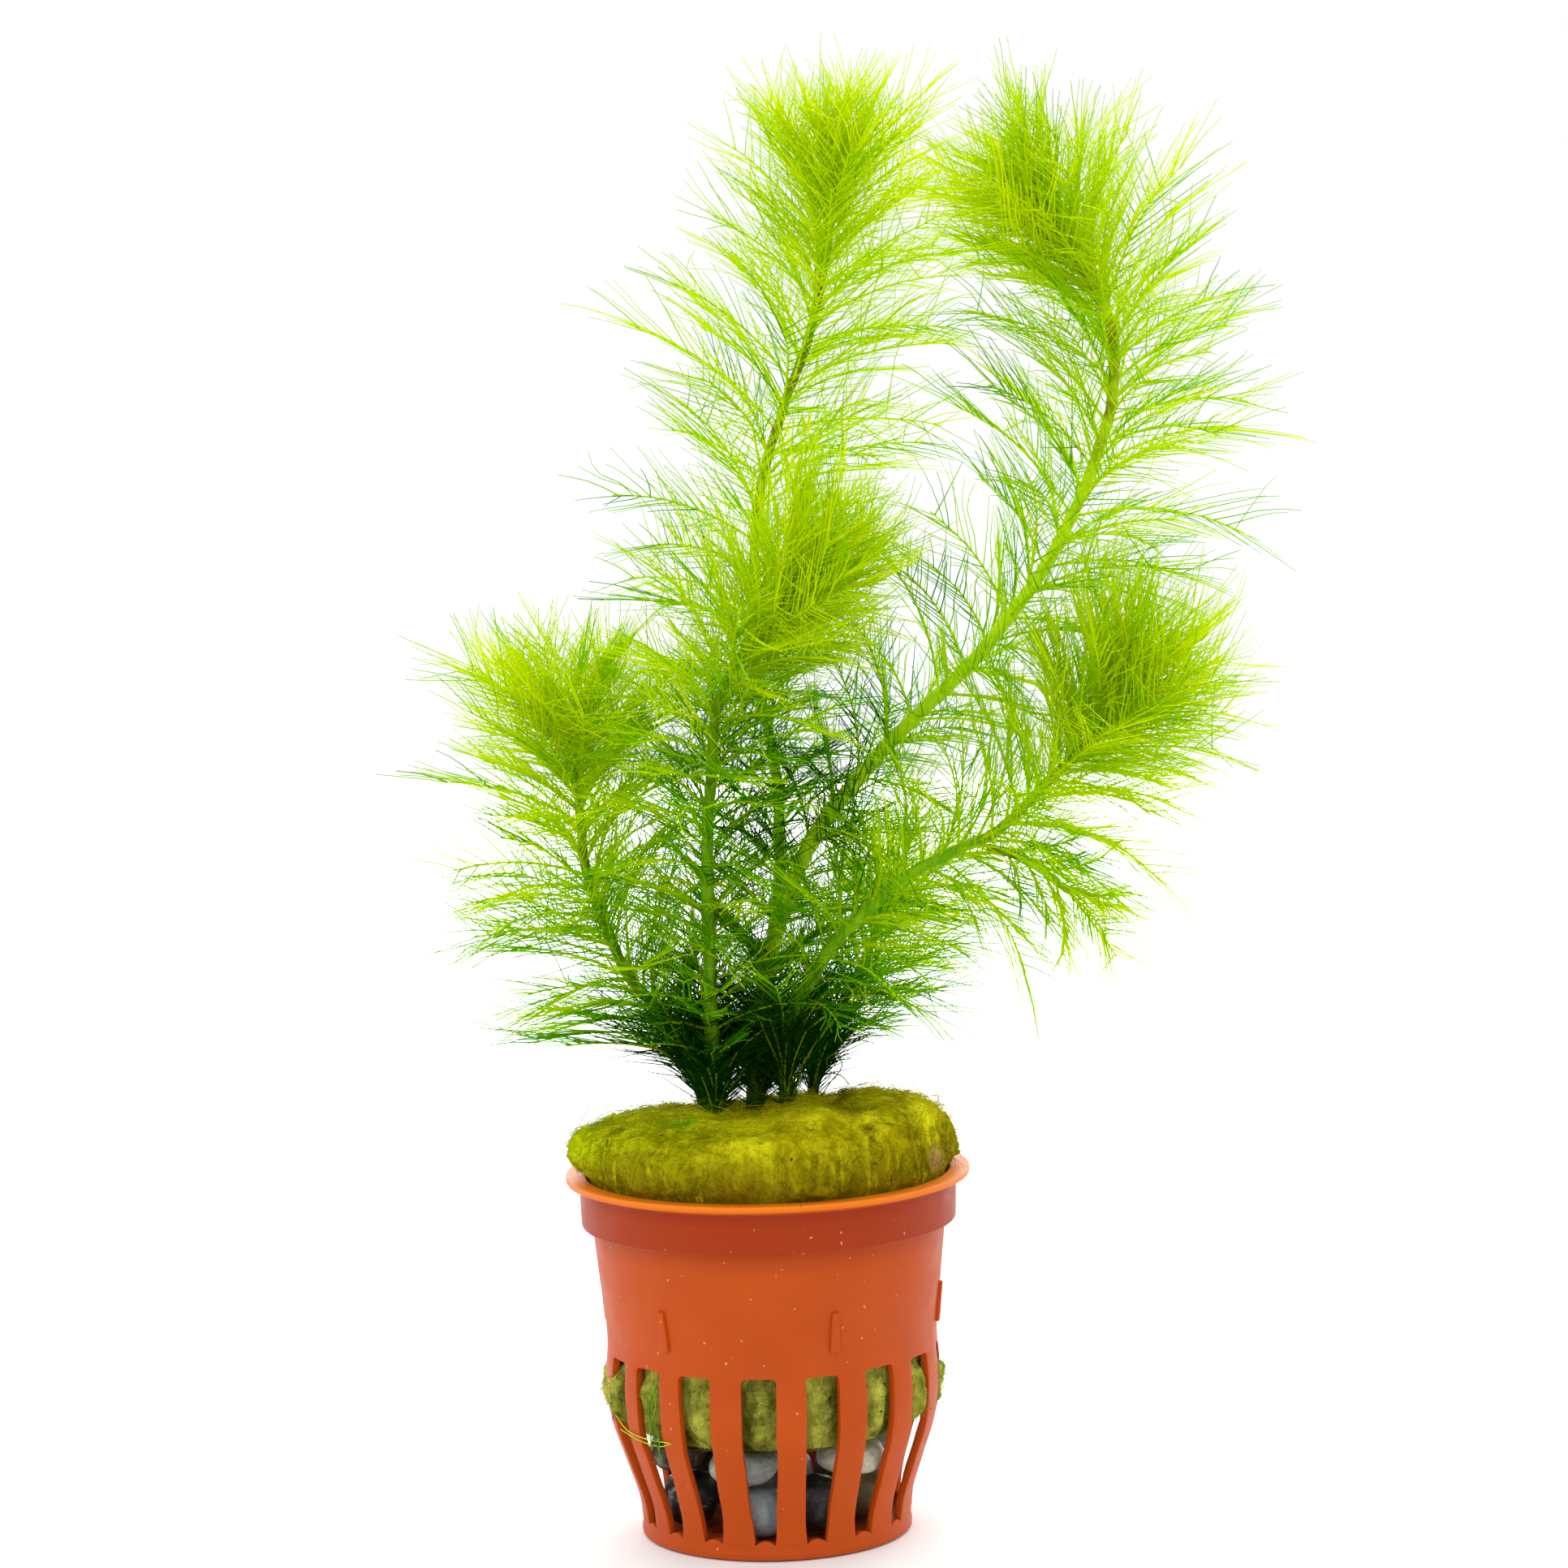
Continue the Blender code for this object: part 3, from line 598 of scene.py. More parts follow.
wool = {
    "columns": 320, "rowsPerRing": 9,
    "rings": [(0.0, 13.7), (11.0, 13.6), (17.9, 14.0), (19.0, 15.6), (19.6, 18.5), (19.8, 22.0),
              (19.75, 25.5), (20.7, 33.0), (21.4, 39.5), (22.1, 42.0), (22.75, 44.5), (22.95, 46.9),
              (24.3, 48.0), (25.1, 49.4), (25.1, 51.5), (23.6, 53.6), (18.5, 54.7), (9.0, 55.2), (0.0, 55.4)],
    "swellArc": 5.2, "swellFront": 0.45, "swellSides": 2.0, "swellWave": 0.5,
    # each set of upright folds: depth, how often round the plug, how it changes with height, seed
    "folds": [(1.6, 2.3, 0.05, 5.0), (1.45, 6.0, 0.06, 9.0), (0.75, 17.0, 0.1, 2.0)],
    "clumps": 0.6, "shoulderCut": 2.4, "roughness": (0.22, 0.16),
    "look": {"olive": (0.15, 0.11, 0.001), "moss": (0.46, 0.40, 0.002), "yellow": (0.68, 0.62, 0.003),
             "pale": (0.80, 0.75, 0.012), "green": (0.46, 0.54, 0.002), "shade": (0.12, 0.085, 0.001),
             "slotShade": (0.028, 0.028, 0.001), "lowPale": (0.48, 0.50, 0.07), "speck": (0.05, 0.03, 0.008),
             "stains": [((0.0225, -0.010, 0.0492), 0.0026, (0.62, 0.34, 0.16)),
                        ((-0.0235, -0.007, 0.0520), 0.0065, (0.44, 0.53, 0.002)),
                        ((-0.0105, -0.013, 0.0555), 0.0035, (0.16, 0.42, 0.001)),
                        ((-0.0170, -0.019, 0.0495), 0.0045, (0.26, 0.22, 0.003)),
                        ((-0.0040, -0.024, 0.0485), 0.0055, (0.22, 0.17, 0.002)),
                        ((0.0150, -0.021, 0.0490), 0.0045, (0.30, 0.24, 0.004))]},
    "fuzz": {"density": 2.2e6, "length": 0.9, "thickness": 0.03, "arch": 0.35, "stand": 0.75,
             "steps": 3, "seed": 4},
    "strands": {"density": 9e5, "length": 5.0, "thickness": 0.03, "arch": 0.5, "stand": 0.1,
                "steps": 6, "seed": 9},
}


def woolMaterial(name, look, fibre=False):
    material, net, shader = newMaterial(
        name, {"Roughness": 0.85, "Specular IOR Level": 0.04, "IOR": 1.25},
        () if fibre else (0.35, (1.0, 0.9, 0.1), 0.0016))
    place = net.parts(net.here())
    strands = net.noise(1.0, 8.0, 0.62, net.stretched((170, 170, 70)))
    stroke = net.noise(1.0, 6.0, 0.65, net.stretched((620, 620, 110)))
    base = net.ramp(net.noise(75.0), (0.25, look["olive"]), (0.5, look["moss"]), (0.75, look["yellow"]))
    base = net.tint(base, look["pale"], strands, 0.42, 0.64)
    # the left side is greener, and the part inside the lower wall is pale in patches, with painted shade
    # between them
    base = net.tint(base, look["green"], place["X"], 0.004, -0.022, 0.0, 0.7)
    # painted shade: the plug darkens below its top, in vertical strokes
    lowShadeMask = net.spread(place["Z"], 0.0550, 0.0490)
    base = net.mix(net.times(lowShadeMask, net.spread(stroke, 0.30, 0.58, 0.45, 1.0)), base, look["shade"])
    base = net.tint(base, look["pale"], stroke, 0.56, 0.72, 0.0, 0.7)
    # painted shade: inside the lower wall the wool between the pale patches is nearly black
    patch = net.times(net.spread(net.noise(150.0, 5.0, 0.7), 0.34, 0.56),
                      net.spread(stroke, 0.3, 0.6, 0.4, 1.0))
    inPot = net.mix(patch, look["slotShade"], look["lowPale"])
    base = net.tint(base, inPot, place["Z"], 0.034, 0.024)
    # painted shade in random patches, for the hollows between clumps
    base = net.tint(base, look["shade"], net.noise(160.0, 6.0, 0.7), 0.30, 0.46, 1.0, 0.0)
    base = net.tint(base, look["speck"], net.noise(900.0, 1.0), 0.74, 0.78)
    grip = net.spread(strands, 0.38, 0.58, 0.3, 1.0)
    for centre, size, colour in look["stains"]:
        near = net.spread(net.distance(centre), size, 0.3 * size, 0.0, 0.9)
        base = net.mix(net.times(near, grip), base, colour)
    net.link(shader.inputs["Base Color"], base)
    if fibre:
        throughThin(net, shader, base, 0.4)
    else:
        net.bump(shader, strands, 0.9, 0.0012)
    return material


def nearestSlot(angle):
    # the number of the nearest slot, and how many degrees away its middle is
    turn = (math.degrees(angle) - pot["slotPhase"]) / slotPitch
    return round(turn), abs(turn - round(turn)) * slotPitch


def woolCrest(x, y):
    # how the top of the plug rises and falls
    tilt = (2.5 if x > 0 else 0.4) * x / 25.0
    lumps = 1.0 * noise.noise(Vector((x * 0.11, y * 0.11, 3.1)))
    crease = -1.1 * max(0.0, 1.0 - abs(x - 8.0 + 0.25 * y) / 4.0) * (1.0 if y < 0 else 0.4)
    shoulder = -0.055 * max(0.0, x - 13.0) ** 1.6
    return tilt + lumps + crease + shoulder - 0.13 * max(0.0, y) - 0.02 * y


def woolPoint(r, z, a):
    # the skin swells out through the slots, and it is folded and lumpy where it stands free of the pot
    slot, away = nearestSlot(a)
    inSlot = smoothStep(13.8, 17, z) * (1 - smoothStep(20.5, 23.6, z))
    swell = max(0.0, 1 - (away / wool["swellArc"]) ** 2) * inSlot
    wave = wool["swellWave"] * noise.noise(Vector((slot * 3.3, z * 0.3, 0)))
    out = r + swell * (wool["swellFront"] + wool["swellSides"] * math.cos(a) ** 2 + wave)
    spot = Vector((out * math.cos(a), out * math.sin(a), z))
    free = smoothStep(46.6, 48.5, z)
    up = z
    if free > 0:
        up += woolCrest(spot.x, spot.y) * smoothStep(47, 52, z)
        fold = sum(depth * noise.noise(Vector((a * often, z * climb, seed)))
                   for depth, often, climb, seed in wool["folds"])
        fold -= wool["shoulderCut"] * max(0.0, math.cos(a)) ** 3 * smoothStep(46.6, 50.5, z)
        out += (fold - 0.1) * (free * (1 - smoothStep(52.0, 54.5, z)))
        clump = noise.fractal(Vector((spot.x * 0.28, spot.y * 0.28, z * 0.2)), 1.0, 2.0, 3)
        up += wool["clumps"] * clump * free
    coarse, fine = wool["roughness"]
    rough = coarse * noise.fractal(spot * 0.7, 1.0, 2.0, 4) + fine * noise.fractal(spot * 2.3, 1.0, 2.0, 3)
    out += rough * (1.0 if free > 0.5 or swell > 0.15 else 0.45)
    up += rough * (0.9 if free > 0.5 else 0.3)
    return out * math.cos(a) * mm, out * math.sin(a) * mm, up * mm


def makeWool():
    rings, columns = wool["rings"], wool["columns"]
    marks = np.arange(len(rings))
    fine = np.linspace(0, len(rings) - 1, (len(rings) - 1) * wool["rowsPerRing"] + 1)
    radii, heights = (np.interp(fine, marks, np.array(row)) for row in zip(*rings))
    for _ in range(3):
        for row in (radii, heights):
            row[2:-2] = np.convolve(row, [0.1, 0.2, 0.4, 0.2, 0.1], "valid")
    points = [woolPoint(r, z, 2 * math.pi * c / columns)
              for r, z in zip(radii[1:-1], heights[1:-1]) for c in range(columns)]
    rows = len(radii) - 2
    points += [(0, 0, heights[0] * mm), (0, 0, (heights[-1] + 0.2) * mm)]
    faces = []
    around = [(c, (c + 1) % columns) for c in range(columns)]
    for i in range(rows - 1):
        low, high = i * columns, (i + 1) * columns
        faces += [(low + c, low + d, high + d, high + c) for c, d in around]
    for c, d in around:
        faces.append((rows * columns, d, c))
        faces.append((rows * columns + 1, (rows - 1) * columns + c, (rows - 1) * columns + d))
    mesh = newMesh("wool_body", points, faces)
    smoothUnder(mesh, 180)
    return addPiece("wool_body", mesh, woolMaterial("mineralWool", wool["look"]))


def fibreTree():
    # arched fibres scattered over a surface, each lying or standing by its lean
    net, source = newTree("fibresOnSurface", {
        "Density": "Float", "Length": "Float", "Thickness": "Float", "Arch": "Float",
        "Stand": "Float", "Steps": "Int", "Seed": "Int"})
    scatter = net.node("GeometryNodeDistributePointsOnFaces", {
        "Mesh": source["Geometry"], "Density": source["Density"], "Seed": source["Seed"]})
    spin = net.random(0.0, 2 * math.pi, source["Seed"])
    lean = net.random(net.times(source["Stand"], -1.0), 0.12, 7)
    rotation = net.turned(scatter["Rotation"], ((0, 0, 1), spin), ((0, 1, 0), lean))
    length, arch = source["Length"], source["Arch"]
    strand = net.one("GeometryNodeCurveQuadraticBezier", {
        "Resolution": source["Steps"], "Start": (0, 0, 0),
        "Middle": net.combined(net.times(length, 0.45), 0.0, arch),
        "End": net.combined(length, 0.0, net.times(arch, 0.25))})
    copies = net.one("GeometryNodeInstanceOnPoints", {
        "Points": scatter["Points"], "Instance": strand, "Rotation": rotation,
        "Scale": net.random(0.45, 1.25, 3)})
    loose = net.one("GeometryNodeRealizeInstances", {0: copies})
    waved = net.one("GeometryNodeSetPosition", {
        "Geometry": loose, "Offset": net.drift(260.0, net.times(length, 0.35))})
    return net.close(net.tubes(waved, 3, source["Thickness"]), source["Material"])


def growFibres(name, surface, net, values, material, keep):
    # only the faces that can be seen carry fibres
    bm = bmesh.new()
    bm.from_mesh(surface.data)
    gone = [f for f in bm.faces if not keep(f.calc_center_median() / mm)]
    bmesh.ops.delete(bm, geom=gone, context="FACES")
    piece = addPiece(name, meshFrom(bm, name))
    runTree(piece, net, {
        "Density": values["density"], "Stand": values["stand"], "Steps": values["steps"],
        "Seed": values["seed"], "Material": material,
        **{key.capitalize(): values[key] * mm for key in ("length", "thickness", "arch")}})
    print(name + ":", len(piece.data.polygons), "faces")
    return piece


def nearSlot(spot):
    _, away = nearestSlot(math.atan2(spot.y, spot.x))
    return away < 4.6 and 13.5 < spot.z < 24.5


woolBody = makeWool()
fibres = fibreTree()
fibreLook = woolMaterial("woolFibre", wool["look"], fibre=True)
woolFuzz = growFibres("wool_fuzz", woolBody, fibres, wool["fuzz"], fibreLook,
                      lambda spot: spot.z > 47.6 or nearSlot(spot))
woolStrands = growFibres("wool_strands", woolBody, fibres, wool["strands"], fibreLook,
                         lambda spot: spot.z > 52.0 or (spot.z > 49.6 and spot.xy.length < 23.0))
for piece in (woolBody, woolFuzz, woolStrands):
    putOn(piece, "rock_wool")


pebbles = {
    "pebble_blue_grey": (0.30, 0.36, 0.38), "pebble_black": (0.02, 0.02, 0.02),
    "pebble_olive": (0.20, 0.16, 0.06), "pebble_sand": (0.42, 0.36, 0.26),
    "pebble_slate": (0.09, 0.10, 0.11), "pebble_dark_brown": (0.07, 0.05, 0.03),
    "pebble_charcoal": (0.03, 0.03, 0.03), "pebble_middle": (0.24, 0.22, 0.18),
    "pebble_grey_white": (0.52, 0.56, 0.52), "pebble_pale_yellow": (0.76, 0.74, 0.58),
    "pebble_grey_green": (0.25, 0.28, 0.20), "pebble_buff": (0.40, 0.32, 0.22),
    "pebble_dark_grey": (0.08, 0.09, 0.09), "pebble_brown": (0.12, 0.08, 0.05),
}


def pebbleMaterial(name, colour, veins):
    material, net, shader = newMaterial("stone_" + name, {"Roughness": 0.42})
    darkest, dark, bright = (tuple(min(1.0, c * share) for c in colour) for share in (0.25, 0.5, 1.25))
    base = net.ramp(net.noise(240.0, 6.0, 0.65), (0.28, dark), (0.55, colour), (0.85, bright))
    grain = net.noise(1700.0, 3.0, 0.7)
    base = net.tint(base, dark, grain, 0.55, 0.75, 0.0, 0.5)
    mottle = net.noise(420.0, 7.0, 0.75)
    base = net.tint(base, darkest, mottle, 0.46, 0.62, 0.0, 0.55)
    base = net.tint(base, (0.42, 0.50, 0.44), mottle, 0.44, 0.34, 0.0, 0.5)
    vein = net.noise(1.0, 5.0, 0.6, net.stretched((140, 300, 500), (0.4, 0.7, 0.2)))
    base = net.tint(base, (0.8, 0.8, 0.76), vein, 0.62, 0.7, 0.0, veins)
    net.link(shader.inputs["Base Color"], base)
    net.bump(shader, grain, 0.35, 0.0002)
    return material


def makePebble(name, colour, seed):
    low, high = (np.array(c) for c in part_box(name))
    middle, half = (low + high) / 2, (high - low) / 2
    away = Vector((seed * 9.1, seed * 3.3, 0))
    bm = bmesh.new()
    bmesh.ops.create_icosphere(bm, subdivisions=5, radius=1.0)
    for v in bm.verts:
        n = v.co.normalized()
        lump = 0.98 + 0.10 * noise.noise(n * 1.2 + away) + 0.03 * noise.noise(n * 3.5 + away)
        lump += 0.006 * noise.fractal(n * 9 + away, 1.0, 2.0, 3)
        # worn stones are squarer than an ellipsoid
        square = sum(abs(part) ** 2.6 for part in n) ** (-1 / 2.6)
        v.co = Vector([middle[i] + n[i] * square * lump * half[i] * 0.98 for i in range(3)])
    mesh = meshFrom(bm, name + "_stone")
    smoothUnder(mesh, 180)
    veins = 0.6 if seed % 3 == 0 else 0.15
    putOn(addPiece(name + "_stone", mesh, pebbleMaterial(name, colour, veins)), name)


for index, (name, colour) in enumerate(pebbles.items()):
    makePebble(name, colour, index)
print("pebbles:", len(pebbles))


shoots = {
    "tall_shoot": {
        "path": [(-1, 3, 42), (-0.9, 3, 55), (1, 5, 71), (2.6, 7, 84), (2.4, 9, 97), (0.4, 11, 110),
                 (0.2, 12, 121), (1.4, 13, 133), (4.5, 14, 143), (8, 15, 152), (10.6, 15.5, 162),
                 (11.8, 16, 172)],
        "radius": (1.0, 0.55), "whorls": 33, "first": 18.0, "crowd": 4.8, "leaf": (20, 34, 18),
        "rise": (34, 72), "lift": 0.1, "fresh": 0.6, "rust": (0.50, 0.94, 0.9),
        "leavesEach": 4, "crownExtra": 2, "wet": 0.35},
    "arching_shoot": {
        "path": [(-1.4, -1, 42), (-1.2, -1, 57), (0.6, -1, 72), (4.1, -1.5, 83.5), (8, -2, 91),
                 (13, -3, 97), (18.5, -4, 103), (25, -5, 109), (31, -6, 115.5), (37, -7, 123.5),
                 (41.3, -8, 131.5), (44.4, -9, 139.5), (46, -9.5, 147.5), (45.4, -10, 153.5),
                 (42.6, -10, 159.5), (39, -10, 165)],
        "radius": (1.4, 0.6), "whorls": 37, "first": 18.0, "crowd": 7.5, "leaf": (19, 33, 22),
        "rise": (36, 72), "lift": 0.1, "fresh": 1.0, "rust": (0.80, 0.97, 1.0),
        "leavesEach": 4, "crownExtra": 2, "wet": 0.6},
    "front_shoot": {
        "path": [(-6.2, -5, 42), (-6.4, -6, 58), (-6.5, -9, 73.5), (-6.3, -12, 88.5), (-5.6, -14, 99),
                 (-4.6, -16, 107), (-2.2, -17, 112.5), (1.4, -18, 117), (6, -19, 122)],
        "radius": (1.1, 0.55), "whorls": 30, "first": 17.0, "crowd": 1.8, "leaf": (19, 26, 18),
        "rise": (32, 64), "lift": 0.4, "fresh": 0.3, "rust": (0.72, 0.95, 0.35),
        "leavesEach": 5, "crownExtra": 3, "wet": 0.45},
    "left_shoot": {
        "path": [(-7.5, 1, 42), (-8.2, 0, 57), (-12.5, 0, 66), (-17, -1, 72.5), (-19.8, -2, 79),
                 (-21.7, -2.5, 85.5), (-22.4, -3, 93), (-22.6, -3, 99), (-23.2, -3.5, 104)],
        "radius": (0.95, 0.5), "whorls": 27, "first": 17.0, "crowd": 1.7, "leaf": (28, 28, 20),
        "rise": (37, 54), "lift": 0.15, "fresh": 0.3, "rust": (0.30, 0.80, 0.7),
        "leavesEach": 4, "crownExtra": 3, "wet": 0.2},
    "right_shoot": {
        "path": [(3.2, -4, 42), (2.6, -3.5, 58), (3.4, -4, 66), (7.4, -7, 74), (12.6, -9, 80.3),
                 (18.8, -11, 85.5), (25, -12, 88.6), (30, -13, 91), (36, -14, 96.7), (41.2, -15, 102),
                 (45, -16, 107)],
        "radius": (1.15, 0.5), "whorls": 30, "first": 17.0, "crowd": 2.4, "leaf": (29, 29, 19),
        "rise": (36, 64), "lift": 0.35, "fresh": 0.4, "rust": (0.75, 1.0, 0.3),
        "leavesEach": 4, "crownExtra": 4, "wet": 0.4},
    "right_side_shoot": {
        "path": [(28.6, -14.6, 89.0), (31.5, -16.5, 88.4), (35, -18, 86.4), (38.2, -19, 83.8)],
        "radius": (0.6, 0.4), "whorls": 5, "first": 2.6, "crowd": 0.6, "leaf": (13, 17, 15),
        "rise": (50, 66), "lift": 0.0, "fresh": 0.5, "rust": (0.0, 0.35, 1.0),
        "leavesEach": 2, "crownExtra": 1, "wet": 0.4},
    "back_shoot": {
        "path": [(5.6, 5, 42), (6.2, 6, 56), (10, 11, 65), (14, 15.5, 72.5), (16.5, 18, 78)],
        "radius": (1.0, 0.55), "whorls": 12, "first": 16.0, "crowd": 1.0, "leaf": (20, 21, 18),
        "rise": (40, 70), "lift": 0.1, "fresh": 0.9, "rust": (0.8, 1.0, 0.1),
        "leavesEach": 4, "crownExtra": 2, "wet": 0.2},
}
# deep is the painted shade at the feet
stemColours = {"old": (0.06, 0.20, 0.002), "green": (0.24, 0.50, 0.002), "pale": (0.60, 0.82, 0.01),
               "deep": (0.014, 0.065, 0.0005), "rust": (0.17, 0.09, 0.002)}


def stemMaterial(look):
    material, net, shader = newMaterial("milfoilStem", {"Roughness": 0.4, "Specular IOR Level": 0.08},
                                        (0.15, (0.4, 0.9, 0.1), 0.001))
    streak = net.noise(1.0, 6.0, 0.6, net.stretched((900, 900, 120)))
    fresh = net.plus(net.attribute("fresh"), net.spread(streak, 0.3, 0.7, -0.25, 0.25))
    base = net.ramp(fresh, (0.0, look["old"]), (0.45, look["green"]), (1.0, look["pale"]))
    # painted shade: the feet, deep among the leaves, are darkened, but not the threads in the slots below
    # them
    height = net.parts(net.here())["Z"]
    atFoot = net.times(net.spread(height, 0.074, 0.056), net.math("GREATER_THAN", height, 0.03))
    base = net.mix(atFoot, base, look["deep"])
    rusty = net.times(net.attribute("rust"), net.spread(net.noise(220.0), 0.32, 0.6))
    net.link(shader.inputs["Base Color"], net.mix(rusty, base, look["rust"]))
    net.bump(shader, streak, 0.5, 0.0003)
    return material


class Path:
    # a smooth path through given points, measured along its length
    def __init__(self, points, perSpan=12):
        p = [Vector(q) for q in points]
        p = [2 * p[0] - p[1]] + p + [2 * p[-1] - p[-2]]
        self.points = []
        for i in range(1, len(p) - 2):
            a, b, c, d = p[i - 1:i + 3]
            for k in range(perSpan):
                t = k / perSpan
                self.points.append(0.5 * (2 * b + (c - a) * t + (2 * a - 5 * b + 4 * c - d) * t * t
                                          + (3 * b - a - 3 * c + d) * t ** 3))
        self.points.append(p[-2])
        self.lengths = [0.0]
        for a, b in zip(self.points, self.points[1:]):
            self.lengths.append(self.lengths[-1] + (b - a).length)
        self.length = self.lengths[-1]

    def at(self, s):
        s = min(max(s, 0.0), self.length)
        last = len(self.lengths) - 2
        i = next((k for k in range(last + 1) if self.lengths[k + 1] >= s), last)
        t = (s - self.lengths[i]) / (self.lengths[i + 1] - self.lengths[i])
        return self.points[i].lerp(self.points[i + 1], t)

    def tangent(self, s):
        return (self.at(s + 0.6) - self.at(s - 0.6)).normalized()


def whorlDistances(shoot, path):
    # the whorls stand closer together towards the tip
    count, first = shoot["whorls"], shoot["first"]
    gaps = [1.0 + shoot["crowd"] * (1 - k / (count - 1)) ** 1.2 for k in range(count - 1)]
    scale = (path.length - first - 0.3) / sum(gaps)
    out = [first]
    for gap in gaps:
        out.append(out[-1] + gap * scale)
    return out


def tubeTree():
    # a round body along a line, as thick as the line's own attribute says
    net, source = newTree("tubeOnPath", {"Sides": "Int"})
    line = net.one("GeometryNodeMeshToCurve", {"Mesh": source["Geometry"]})
    return net.close(net.tubes(line, source["Sides"], net.field("thick")), source["Material"])


def makeStem(name, shoot, net, material):
    path = Path(shoot["path"])
    whorls = np.array(whorlDistances(shoot, path))
    low, high = shoot["radius"]
    start, end, strength = shoot["rust"]
    points, thick, rust = [], [], []
    for s in np.arange(0, path.length + 0.2, 0.35):
        u = min(1.0, s / path.length)
        knot = float(np.exp(-((s - whorls) / 0.55) ** 2).max())
        tip = 0.6 if u > 0.985 else 1.0
        p = path.at(s)
        sway = Vector((noise.noise(p * 0.2), noise.noise(p * 0.2 + Vector((9, 0, 0))), 0)) * 0.25
        points.append((p + sway) * mm)
        thick.append((low + (high - low) * u ** 0.8) * (0.94 + 0.14 * knot) * tip * mm)
        inRust = smoothStep(start - 0.08, start + 0.06, u) * (1 - smoothStep(end - 0.05, end + 0.05, u))
        rust.append(inRust * strength)
    mesh = newMesh(name + "_stem", points, edges=[(i, i + 1) for i in range(len(points) - 1)])
    addAttributes(mesh, {"thick": thick, "fresh": [shoot["fresh"]] * len(points), "rust": rust})
    stem = addPiece(name + "_stem", mesh)
    runTree(stem, net, {"Sides": 14, "Material": material})
    putOn(stem, name)


leaves = {
    "hairsPerSide": 12, "hairSteps": 4, "longestAt": 0.5, "crownAt": 0.72, "spineThick": 0.22,
    "hairThick": 0.10, "spineLength": (0.62, 0.72), "strayHairs": 0.10, "wander": 0.06,
    # how each leaf differs from the others in size, and in its turns in radians
    "sizes": (0.76, 1.12), "turns": (-0.3, 0.3), "rises": (-0.22, 0.2), "rolls": (-0.8, 0.8),
    "basal": (11.9, 12.7, 13.5, 14.5, 15.7), "footAt": 12.5,
    # how far each template's hairs are drawn together, and above which wetness a shoot takes the wet
    # templates
    "dry": [0.0, 0.05, 0.0, 0.1, 0.0, 0.2, 0.05, 0.3, 0.5, 0.1],
    "wet": [0.0, 0.1, 0.2, 0.3, 0.4, 0.7, 0.05, 0.4, 0.1, 0.0], "wetFrom": 0.38,
    "look": {"deep": (0.012, 0.12, 0.0), "dark": (0.09, 0.38, 0.0), "green": (0.28, 0.66, 0.0),
             "lime": (0.70, 0.90, 0.0), "yellow": (0.88, 0.97, 0.0), "spine": (0.76, 0.92, 0.0),
             "tip": (0.18, 0.48, 0.0),
             # painted shade deep among the stems: centre, inner and outer reach, strength
             "paintedShadows": [((-0.001, 0, 0.056), 0.009, 0.028, 0.65),
                        ((0.0015, -0.007, 0.099), 0.008, 0.020, 0.40)]},
}


def leafMaterial(look):
    material, net, shader = newMaterial("milfoilLeaf", {
        "Roughness": 0.45, "Specular IOR Level": 0.04, "IOR": 1.2})
    tone = net.attribute("tone")
    # paler towards each shoot's tip and darker at its base: partly the young growth's own colour, partly
    # painted light and shade
    fresh = net.plus(net.times(net.spread(net.attribute("share"), 0.0, 0.85), 0.38), net.times(tone, 0.25),
                     net.times(net.noise(60.0, 3.0), 0.25), net.times(net.attribute("tuft"), 0.22))
    # painted shade darkens the growth deep among the stems, and a few of the leaves are darker
    for centre, near, far, amount in look["paintedShadows"]:
        fresh = net.math("SUBTRACT", fresh, net.spread(net.distance(centre), near, far, amount, 0.0))
    fresh = net.math("SUBTRACT", fresh, net.spread(tone, 0.16, 0.10, 0.0, 0.06))
    base = net.ramp(fresh, (0.0, look["deep"]), (0.14, look["dark"]), (0.36, look["green"]),
                    (0.6, look["lime"]), (0.95, look["yellow"]))
    # the leaf's spine is yellower than its hairs, and the tips of some hairs are darker
    base = net.tint(base, look["spine"], net.attribute("spine"), 0.0, 1.0, 0.0, 0.6)
    tipDark = net.times(net.spread(net.attribute("reach"), 0.7, 1.0), net.spread(tone, 0.55, 0.2, 0.0, 0.5))
    base = net.mix(tipDark, base, look["tip"])
    net.link(shader.inputs["Base Color"], base)
    throughThin(net, shader, base, 0.62)
    return material


